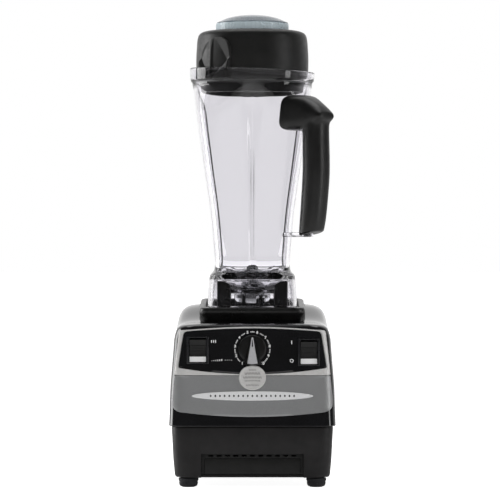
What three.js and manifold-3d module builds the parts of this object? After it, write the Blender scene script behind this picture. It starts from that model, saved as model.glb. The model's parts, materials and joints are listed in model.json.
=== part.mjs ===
// A countertop blender with a tall two litre jar, in millimetres, +Z up.
// The origin is the middle of the base, on the surface that it stands on. The controls face -Y.
import * as THREE from "three";
import { mergeVertices } from "three/addons/utils/BufferGeometryUtils.js";
import Module from "manifold-3d";

const wasm = await Module();
wasm.setup();

// ---------- driving dimensions ----------
const GAP = 0.35; // between pieces that touch
const FOOT_HEIGHT = 10;
const FOOT_RADIUS = 10.3;
const BASE_BACK = 111; // depth behind the axis, at the seam
const BASE_FRONT = 108; // depth in front of the axis, at the seam
const BASE_BOTTOM_Z = 10.6;
const SEAM_Z = 66.7; // where the upper housing sits on the lower one
const CROWN_Z = 196.5; // highest ring of the upper housing
const CROWN_DROP = 18; // how much lower the crown is at the front
const FACE_TILT = Math.atan(0.122); // the front face leans back by this angle
const FACE_Z = 149.7; // height of the dial
const PLATFORM_Z = 178; // flat that the centering pad stands on
const PAD_HALF = 58.2;
const PAD_SEAT_Z = 194.2;
const POST_TOP_Z = 223;
const JAR_FOOT_Z = 194.6;
const JAR_FLOOR_Z = 215;
const JAR_WALL = 3;
const JAR_MOUTH_RADIUS = 66.9;
const LEDGE_Z = 443.8; // ledge inside the jar's lip, where the lid rests
const RIM_Z = 457.3;
const LID_TOP_Z = 501;
const PLUG_RADIUS = 40.4;
const PLUG_TOP_Z = 519.2;
const SHAFT_RADIUS = 4;
const HANDLE_ANGLE = -Math.PI / 4; // front right corner of the jar
const SPOUT_ANGLE = (3 * Math.PI) / 4; // the opposite corner

// ---------- materials ----------
const finish = (color, roughness, metalness = 0) =>
  new THREE.MeshStandardMaterial({ color, roughness, metalness });
const clear = finish(0xd9dce4, 0.05);
clear.transparent = true;
clear.opacity = 0.3;
const glossBlack = finish(0x101012, 0.12);
const matteBlack = finish(0x2b2929, 0.55);
const softBlack = finish(0x1d1d1c, 0.45);
const footRubber = finish(0x222226, 0.8);
const facePaint = finish(0x8a8a8a, 0.4, 0.7);
const silverTrim = finish(0xc8c6c4, 0.3, 0.8);
const steel = finish(0xb9bcc0, 0.25, 1);
const chrome = finish(0xd8dade, 0.08, 1);
const copper = finish(0xb87333, 0.35, 1);
const laminate = finish(0x6d7075, 0.5, 0.9);
const board = finish(0x1f5a34, 0.6);
const carbon = finish(0x2a2a2d, 0.9);
const nylon = finish(0x34343a, 0.5);

// ---------- solids ----------
function solidFrom(geometry) {
  const bare = geometry.index ? geometry.toNonIndexed() : geometry.clone();
  bare.deleteAttribute("normal");
  bare.deleteAttribute("uv");
  const merged = mergeVertices(bare, 1e-3);
  const corners = [];
  const index = merged.index.array;
  for (let i = 0; i < index.length; i += 3) {
    const [a, b, c] = index.slice(i, i + 3);
    if (a !== b && b !== c && c !== a) corners.push(a, b, c);
  }
  const build = (list) =>
    new wasm.Manifold(
      new wasm.Mesh({
        numProp: 3,
        vertProperties: merged.attributes.position.array,
        triVerts: new Uint32Array(list),
      }),
    );
  const made = build(corners);
  return made.volume() > 0 ? made : build(corners.reverse());
}

function geometryFrom(solid) {
  const mesh = solid.getMesh();
  return new THREE.BufferGeometry()
    .setAttribute("position", new THREE.BufferAttribute(mesh.vertProperties, 3))
    .setIndex(new THREE.BufferAttribute(mesh.triVerts, 1));
}

// A piece in the scene: a solid or a geometry, with its name and material.
function piece(name, shape, material) {
  const solid = shape.isBufferGeometry ? solidFrom(shape) : shape;
  const mesh = new THREE.Mesh(geometryFrom(solid), material);
  mesh.name = name;
  return mesh;
}

// A body turned about Z: the profile lists [radius, z], from axis to axis or as a closed loop.
function turned(profile, segments = 32) {
  const points = profile.map(([r, z]) => new THREE.Vector2(Math.max(r, 0), z));
  return new THREE.LatheGeometry(points, segments).rotateX(Math.PI / 2);
}

const cylinder = (radius, z0, z1, segments = 32) =>
  turned([[0, z0], [radius, z0], [radius, z1], [0, z1]], segments);

const ring = (inner, outer, z0, z1, segments = 32) =>
  turned([[inner, z0], [outer, z0], [outer, z1], [inner, z1], [inner, z0]], segments);

function box(x0, x1, y0, y1, z0, z1) {
  return new THREE.BoxGeometry(x1 - x0, y1 - y0, z1 - z0).translate(
    (x0 + x1) / 2,
    (y0 + y1) / 2,
    (z0 + z1) / 2,
  );
}

// An outline drawn in X and Y, with a thickness along Z.
function plate(shape, z0, z1, curveSegments = 8) {
  const options = { depth: z1 - z0, bevelEnabled: false, curveSegments };
  return new THREE.ExtrudeGeometry(shape, options).translate(0, 0, z0);
}

function roundedRectangle(halfX, halfY, radius) {
  const shape = new THREE.Shape();
  shape.moveTo(-halfX + radius, -halfY);
  shape.lineTo(halfX - radius, -halfY);
  shape.absarc(halfX - radius, -halfY + radius, radius, -Math.PI / 2, 0);
  shape.lineTo(halfX, halfY - radius);
  shape.absarc(halfX - radius, halfY - radius, radius, 0, Math.PI / 2);
  shape.lineTo(-halfX + radius, halfY);
  shape.absarc(-halfX + radius, halfY - radius, radius, Math.PI / 2, Math.PI);
  shape.lineTo(-halfX, -halfY + radius);
  shape.absarc(-halfX + radius, -halfY + radius, radius, Math.PI, 1.5 * Math.PI);
  return shape;
}

// A skin over rings of points, all with the same count, closed by a fan at each end.
function loft(rings) {
  const count = rings[0].length;
  const positions = rings.flat().flatMap((p) => [p.x, p.y, p.z]);
  const index = [];
  const middles = [rings[0], rings[rings.length - 1]].map((points) => {
    const middle = new THREE.Vector3();
    points.forEach((p) => middle.addScaledVector(p, 1 / count));
    positions.push(middle.x, middle.y, middle.z);
    return positions.length / 3 - 1;
  });
  for (let j = 0; j < count; j++) {
    const next = (j + 1) % count;
    for (let i = 0; i + 1 < rings.length; i++) {
      const a = i * count + j;
      const b = i * count + next;
      index.push(a, b, b + count, a, b + count, a + count);
    }
    const last = (rings.length - 1) * count;
    index.push(middles[0], next, j, middles[1], last + j, last + next);
  }
  const geometry = new THREE.BufferGeometry();
  geometry.setAttribute("position", new THREE.Float32BufferAttribute(positions, 3));
  geometry.setIndex(index);
  return geometry;
}

// ---------- housings ----------
// Plan of a housing: a rectangle with round corners, whose front and back lie at their own depths.
function housingPlan(halfX, front, back, radius, cornerSteps = 4) {
  const points = [];
  const corner = (cx, cy, from) => {
    for (let i = 0; i <= cornerSteps; i++) {
      const a = from + (i / cornerSteps) * (Math.PI / 2);
      points.push(new THREE.Vector3(cx + radius * Math.cos(a), cy + radius * Math.sin(a), 0));
    }
  };
  const side = (steps) => {
    const start = points[points.length - 1].clone();
    return (end) => {
      for (let i = 1; i < steps; i++) points.push(start.clone().lerp(end, i / steps));
    };
  };
  corner(halfX - radius, -front + radius, -Math.PI / 2);
  side(6)(new THREE.Vector3(halfX, back - radius, 0));
  corner(halfX - radius, back - radius, 0);
  corner(-halfX + radius, back - radius, Math.PI / 2);
  side(6)(new THREE.Vector3(-halfX, -front + radius, 0));
  corner(-halfX + radius, -front + radius, Math.PI);
  return points;
}

const frontDepth = (z) => BASE_FRONT - (z - SEAM_Z) * Math.tan(FACE_TILT);
const backDepth = (z) => BASE_BACK - (z - SEAM_Z) * 0.09;

// How far the crown drops towards the front.
function crownDrop(y) {
  const t = THREE.MathUtils.clamp((30 - y) / 95, 0, 1);
  return (CROWN_DROP * (1 - Math.cos(Math.PI * t))) / 2;
}

// The upper housing's outer skin, moved outwards by offset, from z = from to the crown.
const SHOULDER_Z = 160;
const UPPER_RINGS = [
  // z, half width, how far the shoulder has turned in
  [SEAM_Z, 90.4, 0],
  [84, 89.7, 0],
  [110, 88.9, 0],
  [143, 86.4, 0],
  [160, 85.2, 0],
  [172, 84, 0],
  [182, 82.2, 1.6],
  [188, 79.6, 4.2],
  [192, 75.8, 8],
  [195, 69, 14.8],
  [CROWN_Z, 58.9, 25],
];
function upperSkin(offset) {
  const squeeze = (z, y) => {
    if (z <= SHOULDER_Z) return z;
    const share = 1 - crownDrop(y) / (CROWN_Z - SHOULDER_Z);
    return SHOULDER_Z + (z - SHOULDER_Z) * share;
  };
  const rings = UPPER_RINGS.map(([z, halfX, inset]) => {
    const front = frontDepth(squeeze(z, -BASE_FRONT)) - inset + offset;
    const back = backDepth(z) - inset + offset;
    const plan = housingPlan(halfX + offset, front, back, 15 + inset * 0.9 + offset);
    plan.forEach((p) => (p.z = squeeze(z, p.y)));
    return plan;
  });
  return solidFrom(loft(rings));
}

// A cutter that follows the lower or upper housing with straight rings of [z, half width, front, back].
function shell(rows, radius) {
  return solidFrom(
    loft(
      rows.map(([z, halfX, front, back]) => {
        const plan = housingPlan(halfX, front, back, radius, 3);
        plan.forEach((p) => (p.z = z));
        return plan;
      }),
    ),
  );
}

// Openings in the front face, drawn in the face's own plane.
const faceMatrix = new THREE.Matrix4()
  .makeTranslation(0, -frontDepth(FACE_Z), FACE_Z)
  .multiply(new THREE.Matrix4().makeRotationX(Math.PI / 2 - FACE_TILT));
const SWITCHES = [
  { name: "speed_range", x: -59.1, up: -1.3 },
  { name: "power", x: 61.1, up: -3.6 },
];
const BEZEL_HALF = [11.85, 14.6];
const SWITCH_OPENING = [9.35, 13.4];

function faceCutters() {
  const holes = SWITCHES.map(({ x, up }) => {
    const [a, b] = BEZEL_HALF.map((v) => v + GAP);
    return box(x - a, x + a, up - b, up + b, -12, 8);
  });
  holes.push(cylinder(4.5, -12, 8, 20));
  return holes
    .map((g) => solidFrom(g.applyMatrix4(faceMatrix)))
    .reduce((all, one) => all.add(one));
}

function upperHousing() {
  const cavity = shell(
    [
      [SEAM_Z - 5, 85.4, BASE_FRONT - 5, BASE_BACK - 5],
      [110, 83.9, frontDepth(110) - 5, backDepth(110) - 5],
      [168, 79.2, frontDepth(168) - 5, backDepth(168) - 5],
    ],
    10,
  );
  const half = PAD_HALF + GAP;
  const pocket = solidFrom(plate(roundedRectangle(half, half, 12), PLATFORM_Z, 210, 3));
  let body = upperSkin(0).subtract(cavity).subtract(pocket);
  body = body.subtract(solidFrom(cylinder(22, 160, 190, 24)));
  for (const [sx, sy] of CORNERS) {
    const [x, y] = [sx * 48, sy * 48];
    body = body.add(solidFrom(cylinder(6, 160.4, 170, 8).translate(x, y, 0)));
  }
  return body.subtract(faceCutters());
}

const CORNERS = [
  [-1, -1],
  [1, -1],
  [-1, 1],
  [1, 1],
];

const INTAKE_HALF = 55.4;
const INTAKE_TOP_Z = 36.7;
function lowerHousing() {
  const top = SEAM_Z - GAP;
  let body = shell(
    [
      [BASE_BOTTOM_Z, 83.2, 99.6, 102.6],
      [BASE_BOTTOM_Z + 3, 84.4, 100.8, 103.8],
      [30, 85.9, 102.2, 105.2],
      [top, 87.6, 104.6, 107.6],
    ],
    15,
  ).subtract(shell([[5, 81.4, 97.8, 100.8], [70, 83.8, 100.8, 103.8]], 11));
  body = body.subtract(solidFrom(box(-INTAKE_HALF, INTAKE_HALF, -120, -95, 0, INTAKE_TOP_Z)));
  for (let i = -4; i <= 4; i++) {
    const x = i * 10;
    body = body.subtract(solidFrom(box(x - 3, x + 3, 96, 120, 38, 56)));
  }
  return body.subtract(solidFrom(cylinder(7.4, 90, 120, 16).rotateX(-Math.PI / 2).translate(46, 0, 24)));
}

function bottomPlate() {
  let body = solidFrom(plate(roundedRectangle(80.5, 96.8, 10), BASE_BOTTOM_Z + GAP, 13.6, 3));
  for (let i = -3; i <= 3; i++) {
    body = body.subtract(solidFrom(box(-32, 32, i * 10 - 3, i * 10 + 3, 8, 16)));
  }
  for (const [sx, sy] of CORNERS) {
    body = body.subtract(solidFrom(cylinder(2.6, 8, 16, 10).translate(sx * 69.4, sy * 66, 0)));
  }
  return body;
}

function intakeGrille() {
  let body = solidFrom(box(-60, 60, -97.4, -95, 14.2, 44));
  for (let i = -5; i <= 5; i++) {
    body = body.subtract(solidFrom(box(i * 9 - 3, i * 9 + 3, -105, -90, 31.5, 35)));
  }
  return body;
}

function foot() {
  const low = FOOT_RADIUS - 0.9;
  return turned(
    [[0, 0], [low - 2, 0], [low, 2], [FOOT_RADIUS, FOOT_HEIGHT], [0, FOOT_HEIGHT]],
    16,
  );
}

function housingScrew() {
  return turned([[0, 8.2], [4.2, 8.2], [4.2, 10.2], [2, 10.2], [2, 26], [0, 26]], 8);
}

// ---------- front panels ----------
// A thin panel on the front face: the part of the skin between two offsets, inside an outline in X and Z.
function onFace(outline, from, to) {
  const sweep = plate(outline, 0, 60).rotateX(Math.PI / 2).translate(0, -75, 0);
  return upperSkin(to).subtract(upperSkin(from)).intersect(solidFrom(sweep));
}

const CONTROL_TOP_Z = 168.3;
function controlOutline(grow) {
  const shape = new THREE.Shape();
  shape.moveTo(-73.6 - grow, CONTROL_TOP_Z + grow);
  shape.quadraticCurveTo(0, 174.7 + grow, 73.6 + grow, CONTROL_TOP_Z + grow);
  shape.lineTo(79.4 + grow, 131);
  shape.quadraticCurveTo(79.6 + grow, 126.5 - grow, 72, 126 - grow);
  shape.quadraticCurveTo(0, 121.8 - grow, -72, 126 - grow);
  shape.quadraticCurveTo(-79.6 - grow, 126.5 - grow, -79.4 - grow, 131);
  return shape;
}

const BAND_Z = 121.6; // lower edge of the silver trim
function trimOutline() {
  const shape = new THREE.Shape();
  shape.moveTo(-78, 169.6);
  shape.quadraticCurveTo(0, 177, 78, 169.6);
  shape.lineTo(83.6, BAND_Z);
  shape.lineTo(-83.6, BAND_Z);
  return shape;
}

function facePlateOutline() {
  const shape = new THREE.Shape();
  const top = BAND_Z - GAP;
  shape.moveTo(-83.6, top);
  shape.lineTo(-86.2, 94);
  shape.quadraticCurveTo(-87, 84, -78, 82);
  shape.quadraticCurveTo(0, 71.8, 78, 82);
  shape.quadraticCurveTo(87, 84, 86.2, 94);
  shape.lineTo(83.6, top);
  return shape;
}

function silverBorder() {
  const hole = onFace(controlOutline(GAP), 0, 3);
  return onFace(trimOutline(), GAP, 2).subtract(hole);
}

const controlPlate = () => onFace(controlOutline(0), GAP, 1.5).subtract(faceCutters());

function oval(halfX, halfY) {
  const shape = new THREE.Shape();
  shape.absellipse(0, 0, halfX, halfY, 0, 2 * Math.PI);
  return shape;
}

// ---------- controls, drawn in the plane of the front face, +Z outwards ----------
function bezel() {
  const [halfX, halfY] = BEZEL_HALF;
  const [a, b] = SWITCH_OPENING;
  const outer = solidFrom(box(-halfX, halfX, -halfY, halfY, -6, 3.2));
  return outer.subtract(solidFrom(box(-a, a, -b, b, -8, 6)));
}

// The rocker rests with its lower end pressed in: it is drawn level and then tilted about its pivot.
const ROCKER_PIVOT = -3;
const ROCKER_TILT = THREE.MathUtils.degToRad(8);
function rocker() {
  const side = new THREE.Shape();
  side.moveTo(-12.2, 3.2);
  side.quadraticCurveTo(0, 0.4, 12.2, 3.2);
  side.lineTo(12.2, -1);
  side.lineTo(8, -4.6);
  side.lineTo(-8, -4.6);
  side.lineTo(-12.2, -1);
  return plate(side, -8.9, 8.9, 6)
    .applyMatrix4(new THREE.Matrix4().set(0, 0, 1, 0, 1, 0, 0, 0, 0, 1, 0, 0, 0, 0, 0, 1))
    .translate(0, 0, -ROCKER_PIVOT)
    .rotateX(ROCKER_TILT)
    .translate(0, 0, ROCKER_PIVOT);
}

const KNOB_TOP = 10.2;
function speedKnob() {
  const skirt = solidFrom(
    turned([[0, 2.3], [15, 2.3], [15, 5], [14, 6.4], [0, 6.4]], 32),
  );
  const grip = new THREE.Shape();
  grip.moveTo(-8, -13);
  grip.lineTo(8, -13);
  grip.lineTo(2.2, 14);
  grip.lineTo(-2.2, 14);
  return skirt.add(solidFrom(plate(grip, 5, KNOB_TOP)));
}

function knobPointer() {
  const face = new THREE.Shape();
  face.moveTo(-5.7, -12.6);
  face.lineTo(5.7, -12.6);
  face.lineTo(0.9, 13.6);
  face.lineTo(-0.9, 13.6);
  return plate(face, KNOB_TOP + GAP, KNOB_TOP + 1.4);
}

// ---------- centering pad ----------
function centeringPad() {
  const outer = roundedRectangle(PAD_HALF, PAD_HALF, 12);
  let body = solidFrom(plate(outer, PLATFORM_Z + GAP, 203.4, 3));
  // The rim falls from the back to the front.
  const slope = Math.atan2(9.4, 2 * PAD_HALF);
  const above = box(-80, 80, -80, 80, 0, 40).rotateX(slope).translate(0, 0, 198.2);
  body = body.subtract(solidFrom(above));
  const seat = solidFrom(plate(roundedRectangle(50.4, 50.4, 15), PAD_SEAT_Z, 220, 4));
  body = body.subtract(seat);
  for (const [sx, sy] of CORNERS) body = body.add(padPost(sx, sy));
  return body.subtract(solidFrom(cylinder(23, 170, 240, 24)));
}

// A post of the pad: a block in a corner of the jar's skirt, whose top follows the jar's underside.
function padPost(sx, sy) {
  const block = plate(roundedRectangle(7.4, 7.4, 4), PAD_SEAT_Z - 2, POST_TOP_Z, 2);
  return solidFrom(block.translate(sx * 31.6, sy * 31.6, 0)).subtract(jarWell(1.5));
}

// ---------- jar ----------
// One ring of the jar: a square whose roundness is set by its power (2 is a circle),
// with a V groove in the middle of each side.
function jarRing(z, halfX, power, groove = 0, grooveHalf = 6) {
  const edge = Math.atan2(grooveHalf, halfX);
  const steps = 5;
  const points = [];
  for (let quarter = 0; quarter < 4; quarter++) {
    const start = (quarter * Math.PI) / 2;
    points.push(polar(halfX - groove, start, z));
    for (let i = 0; i <= steps; i++) {
      const a = edge + (i / steps) * (Math.PI / 2 - 2 * edge);
      const c = Math.cos(a) ** power + Math.sin(a) ** power;
      points.push(polar(halfX * c ** (-1 / power), start + a, z));
    }
  }
  return points;
}

const polar = (r, a, z) => new THREE.Vector3(r * Math.cos(a), r * Math.sin(a), z);

const JAR_BODY = [
  // z, half width, power, groove depth, groove half width
  [246, 41.8, 4.6, 3.4, 5.2],
  [257, 42.4, 4.6, 3.6, 5.4],
  [301, 46.8, 4.6, 4, 6],
  [346, 53.5, 4.4, 4.8, 7],
  [391, 60.2, 4, 6, 11],
  [413, 63.2, 3.6, 6.4, 13.5],
  [428, 64.9, 2.9, 3, 13.5],
];

function spout(a) {
  const turn = (a - SPOUT_ANGLE) / 0.28;
  return Math.exp(-turn * turn);
}

function lipRing(radius, height) {
  const points = jarRing(0, radius, 2);
  return points.map((p) => {
    const a = Math.atan2(p.y, p.x);
    const turn = a < 0 ? a + 2 * Math.PI : a;
    const out = spout(turn);
    const tilt = 3 * Math.cos(turn - 2.7) + 2.5 * out;
    return polar(radius + 6 * out, turn, height >= RIM_Z ? height + tilt : height);
  });
}

function jarOutside(grow = 0) {
  const rings = [
    jarRing(JAR_FOOT_Z, 49.8 + grow, 5),
    jarRing(208, 49.2 + grow, 5),
    jarRing(226, 48.1 + grow, 5),
    jarRing(230, 46.9 + grow, 4.8),
    jarRing(234.5, 43 + grow, 4.6),
    ...JAR_BODY.map(([z, h, power, deep, wide]) => jarRing(z, h + grow, power, deep, wide)),
    jarRing(441, JAR_MOUTH_RADIUS + grow, 2),
    lipRing(69 + grow, 444.6),
    lipRing(69.4 + grow, RIM_Z),
  ];
  return solidFrom(loft(rings));
}

function jarInside() {
  const rings = [
    jarRing(JAR_FLOOR_Z, 21, 2),
    jarRing(JAR_FLOOR_Z + 2, 25.5, 2.4),
    jarRing(229, 38.4, 4),
    ...JAR_BODY.map(([z, h, power, deep, wide]) => jarRing(z, h - JAR_WALL, power, deep, wide)),
    jarRing(LEDGE_Z - 3, JAR_MOUTH_RADIUS - JAR_WALL, 2),
    lipRing(JAR_MOUTH_RADIUS - JAR_WALL, LEDGE_Z),
    lipRing(66.4, LEDGE_Z + 1.4),
    lipRing(66.8, RIM_Z + 12),
  ];
  return solidFrom(loft(rings));
}

const TONGUE = [40, 90, -5.5, 5.5, 271.6, 276.6]; // radial, sideways and upwards extents
const BOSS = [62, 86, -7, 7, 400, 414];

const toHandle = (geometry) => geometry.rotateZ(HANDLE_ANGLE);

// The underside of the jar: a shallow bowl with a flat middle, lowered by drop.
function jarWell(drop) {
  const rings = [
    jarRing(209 - drop, 24, 2.5),
    jarRing(225 - drop, 43.5, 4),
    jarRing(245 - drop, 43.5, 4),
  ];
  return solidFrom(loft(rings));
}

function jar() {
  const well = jarWell(0);
  const skirt = solidFrom(
    loft([jarRing(190, 46.8, 5), jarRing(208, 46.2, 5), jarRing(224, 45, 5)]),
  ).subtract(well);
  const fixings = solidFrom(toHandle(box(...TONGUE))).add(solidFrom(toHandle(box(...BOSS))));
  let body = jarOutside().add(fixings).subtract(jarInside()).subtract(skirt);
  for (const cut of [screwAt(HANDLE_SCREWS[0], GAP), screwAt(HANDLE_SCREWS[1], GAP)]) {
    body = body.subtract(solidFrom(toHandle(cut)));
  }
  return body.subtract(solidFrom(cylinder(13.4, 200, 220, 20)));
}

// ---------- handle, drawn with X pointing away from the jar ----------
// One section across an axis: half sizes a and b, and a power for its roundness.
function section(a, b, place, power = 3, count = 16) {
  const points = [];
  for (let i = 0; i < count; i++) {
    const t = (i / count) * 2 * Math.PI;
    const c = Math.cos(t);
    const s = Math.sin(t);
    const u = a * Math.sign(c) * Math.abs(c) ** (2 / power);
    const v = b * Math.sign(s) * Math.abs(s) ** (2 / power);
    points.push(place(u, v));
  }
  return points;
}

const HANDLE_SCREWS = [
  { x: 79, z: 388.5, length: 18 },
  { x: 84, z: 272.4, length: 15 },
];

function screwAt({ x, z, length }, grow) {
  const [head, stem] = [3.6 + grow, 2 + grow];
  const low = z - grow - (grow ? 8 : 0);
  return turned(
    [[0, low], [head, low], [head, z + 2.4 + grow], [stem, z + 2.4 + grow],
      [stem, z + length + grow], [0, z + length + grow]],
    12,
  ).translate(x, 0, 0);
}

const ARM = [
  // distance from the jar's axis, half width, lowest and highest z
  [60, 27, 388.5, 425.5],
  [76, 26, 388.5, 426.8],
  [87, 20.5, 388.5, 425.6],
  [97, 15.5, 389, 421.5],
  [106, 13, 390, 416],
  [112, 11, 392, 410.5],
  [115.6, 6, 396, 406.5],
];

const GRIP = [
  // z, distance from the jar's axis, half thickness, half width
  [412, 100, 10, 10.5],
  [404, 99.6, 12.4, 12.6],
  [388, 98.4, 12, 12.5],
  [345, 99, 12.4, 12.8],
  [312, 96.2, 12.4, 12.6],
  [290, 94, 12.4, 12.4],
  [275, 91.6, 12.2, 12.2],
];

function handle() {
  const arm = loft(
    ARM.map(([x, half, low, high]) =>
      section(half, (high - low) / 2, (u, v) => new THREE.Vector3(x, u, (low + high) / 2 + v), 3.2),
    ),
  );
  const grip = loft(
    GRIP.map(([z, x, thick, half], i) => {
      const slant = i === GRIP.length - 1 ? 0.22 : 0;
      return section(thick, half, (u, v) => new THREE.Vector3(x + u, v, z + slant * u), 3.2);
    }).reverse(),
  );
  const [r0, r1, s0, s1, z0, z1] = TONGUE;
  const [b0, b1, t0, t1, y0, y1] = BOSS;
  let body = solidFrom(arm).add(solidFrom(grip));
  body = body.subtract(solidFrom(box(r0, r1 + GAP, s0 - GAP, s1 + GAP, z0 - 9, z1 + GAP)));
  body = body.subtract(solidFrom(box(b0, b1 + GAP, t0 - GAP, t1 + GAP, y0 - GAP, y1 + GAP)));
  for (const screw of HANDLE_SCREWS) body = body.subtract(solidFrom(screwAt(screw, GAP)));
  const turnedBody = solidFrom(toHandle(geometryFrom(body)));
  return turnedBody.subtract(jarOutside(GAP + 0.1));
}

// ---------- blade assembly ----------
function splineOutline(outer, inner, teeth = 10) {
  const shape = new THREE.Shape();
  for (let i = 0; i < teeth * 4; i++) {
    const a = ((i + 0.5) / (teeth * 4)) * 2 * Math.PI;
    const r = i % 4 < 2 ? outer : inner;
    if (i === 0) shape.moveTo(r * Math.cos(a), r * Math.sin(a));
    else shape.lineTo(r * Math.cos(a), r * Math.sin(a));
  }
  return shape;
}

const bladeShaft = () =>
  solidFrom(cylinder(SHAFT_RADIUS, 190, 236, 12)).add(
    solidFrom(plate(splineOutline(6.2, 5.1), 182, 194.5)),
  );

const BLADE_Z = 229;
function blade() {
  let body = solidFrom(cylinder(8.5, BLADE_Z, BLADE_Z + 1.8, 16));
  for (let i = 0; i < 4; i++) {
    const up = i % 2 === 0;
    const arm = new THREE.Shape();
    arm.moveTo(0, -6.5);
    arm.lineTo(22, -5);
    arm.lineTo(22, 3);
    arm.lineTo(0, 6.5);
    const tip = new THREE.Shape();
    tip.moveTo(0, -5);
    tip.lineTo(12, -2.5);
    tip.lineTo(12, 0);
    tip.lineTo(0, 3);
    const bend = plate(tip, 0, 1.8)
      .rotateY(up ? -0.75 : 0.3)
      .translate(21, 0, BLADE_Z);
    const prong = solidFrom(plate(arm, BLADE_Z, BLADE_Z + 1.8)).add(solidFrom(bend));
    body = body.add(solidFrom(geometryFrom(prong).rotateZ((i * Math.PI) / 2 + 0.4)));
  }
  return body.subtract(solidFrom(cylinder(SHAFT_RADIUS + GAP, 220, 240, 12)));
}

// Flanged sleeve that holds the blade's bearings in the jar's floor.
const bearingSleeve = () =>
  turned(
    [[9.9, 197.5], [12.8, 197.5], [12.8, JAR_FLOOR_Z + GAP], [19, JAR_FLOOR_Z + GAP],
      [19, 218], [12.8, 220.5], [12.8, 225.8], [5, 227.4], [5, 225.4], [9.9, 225.4], [9.9, 197.5]],
    20,
  );

// Round nut under the jar, with spanner slots across its lower face.
function retainerNut() {
  let body = solidFrom(ring(13.4, 20.2, 196.2, 208.6, 24));
  for (let i = 0; i < 3; i++) {
    const slot = box(10, 24, -5, 5, 190, 202.5).rotateZ((i * 2 * Math.PI) / 3 - 1.1);
    body = body.subtract(solidFrom(slot));
  }
  return body;
}

// ---------- lid and plug ----------
const SKIRT_END_Z = 431.2;
function lid() {
  const drum = [
    [33, 462], [33, 496.5], [56.5, 496.5], [58.4, 490], [58.8, 450], [53.5, 444.5],
    [53.5, SKIRT_END_Z], [57.8, SKIRT_END_Z], [58.6, LEDGE_Z + GAP], [61.6, LEDGE_Z + GAP],
    [62.6, 466], [61.6, 490], [59.2, 497.5], [54, 500.4], [48, LID_TOP_Z], [30, LID_TOP_Z],
    [30, 462], [33, 462],
  ];
  let body = solidFrom(turned(drum, 26));
  for (const turn of [0, Math.PI]) {
    body = body.add(solidFrom(flap().rotateZ(turn - (3 * Math.PI) / 4)));
  }
  return body;
}

// A thumb flap on the side of the lid: an arched tab with a ridge down its middle.
function flap() {
  const front = new THREE.Shape();
  front.moveTo(-24, LEDGE_Z + 2.4);
  front.lineTo(24, LEDGE_Z + 2.4);
  front.lineTo(22.5, 468);
  front.quadraticCurveTo(20, 491, 0, 491.6);
  front.quadraticCurveTo(-20, 491, -22.5, 468);
  const upright = plate(front, 0, 8, 4).rotateX(Math.PI / 2).rotateZ(Math.PI / 2);
  const tab = solidFrom(upright.translate(56.6, 0, 0));
  const ridge = solidFrom(box(62, 65.6, -2.2, 2.2, LEDGE_Z + 2.4, 488));
  const bounds = solidFrom(cylinder(65.6, 440, 495, 26));
  return geometryFrom(tab.add(ridge).intersect(bounds));
}

// The clear plug is an upside-down cup with a flange: open below, domed above.
const plugProfile = [
  [0, PLUG_TOP_Z], [14, 518.6], [28, 516], [36, 512.6], [39.6, 510.2], [PLUG_RADIUS, 507],
  [PLUG_RADIUS, LID_TOP_Z + GAP], [28, LID_TOP_Z + GAP], [27.4, 458], [24.4, 458],
  [25, 505], [24, 511], [14, 514.6], [0, 515.4],
];

const plugSeal = () => ring(27.9 + GAP, 29.6, 466, 470, 24);

// ---------- motor ----------
function stator() {
  const outside = solidFrom(plate(roundedRectangle(48, 44, 14), 85, 140, 3));
  return outside.subtract(solidFrom(cylinder(28.5, 80, 145, 24)));
}

function rotorCore() {
  let body = solidFrom(cylinder(27.5, 88, 137, 24));
  for (let i = 0; i < 12; i++) {
    const slot = box(20, 30, -1.6, 1.6, 80, 145).rotateZ((i * Math.PI) / 6);
    body = body.subtract(solidFrom(slot));
  }
  return body.subtract(solidFrom(cylinder(SHAFT_RADIUS + GAP, 80, 145, 12)));
}

function coolingFan() {
  let body = solidFrom(ring(SHAFT_RADIUS + GAP, 12, 22, 36, 16)).add(
    solidFrom(ring(11, 44, 34, 36, 24)),
  );
  for (let i = 0; i < 8; i++) {
    const fin = box(10, 43, -0.9, 0.9, 23, 35).rotateZ((i * Math.PI) / 4);
    body = body.add(solidFrom(fin));
  }
  return body;
}

// A bracket across the motor: a round plate with a cup for its bearing, and lugs at the corners.
function motorBracket(z0, z1, half) {
  let body = solidFrom(cylinder(40, z0, z1, 24));
  for (const sign of [-1, 1]) {
    const bar = box(-half * Math.SQRT2, half * Math.SQRT2, -7, 7, z0, z1).rotateZ((sign * Math.PI) / 4);
    body = body.add(solidFrom(bar));
  }
  return body.subtract(solidFrom(cylinder(11.4, z0 - 5, z1 + 5, 16)));
}

function driveSocket() {
  const profile = [[0, 172], [11, 172], [16, 176], [16, 192.4], [15, 193.4], [0, 193.4]];
  return solidFrom(turned(profile, 24))
    .subtract(solidFrom(plate(splineOutline(6.8, 5.7), 181.4, 200)))
    .subtract(solidFrom(cylinder(SHAFT_RADIUS + GAP, 165, 180, 12)));
}

function controlBoard() {
  return solidFrom(box(-32, 32, -72, -70.4, 88, 128))
    .add(solidFrom(box(-20, -4, -70.6, -60, 96, 112)))
    .add(solidFrom(cylinder(6, 0, 14, 12).rotateX(-Math.PI / 2).translate(14, -71, 108)));
}

// ---------- assembly ----------
const blender = new THREE.Group();

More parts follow.
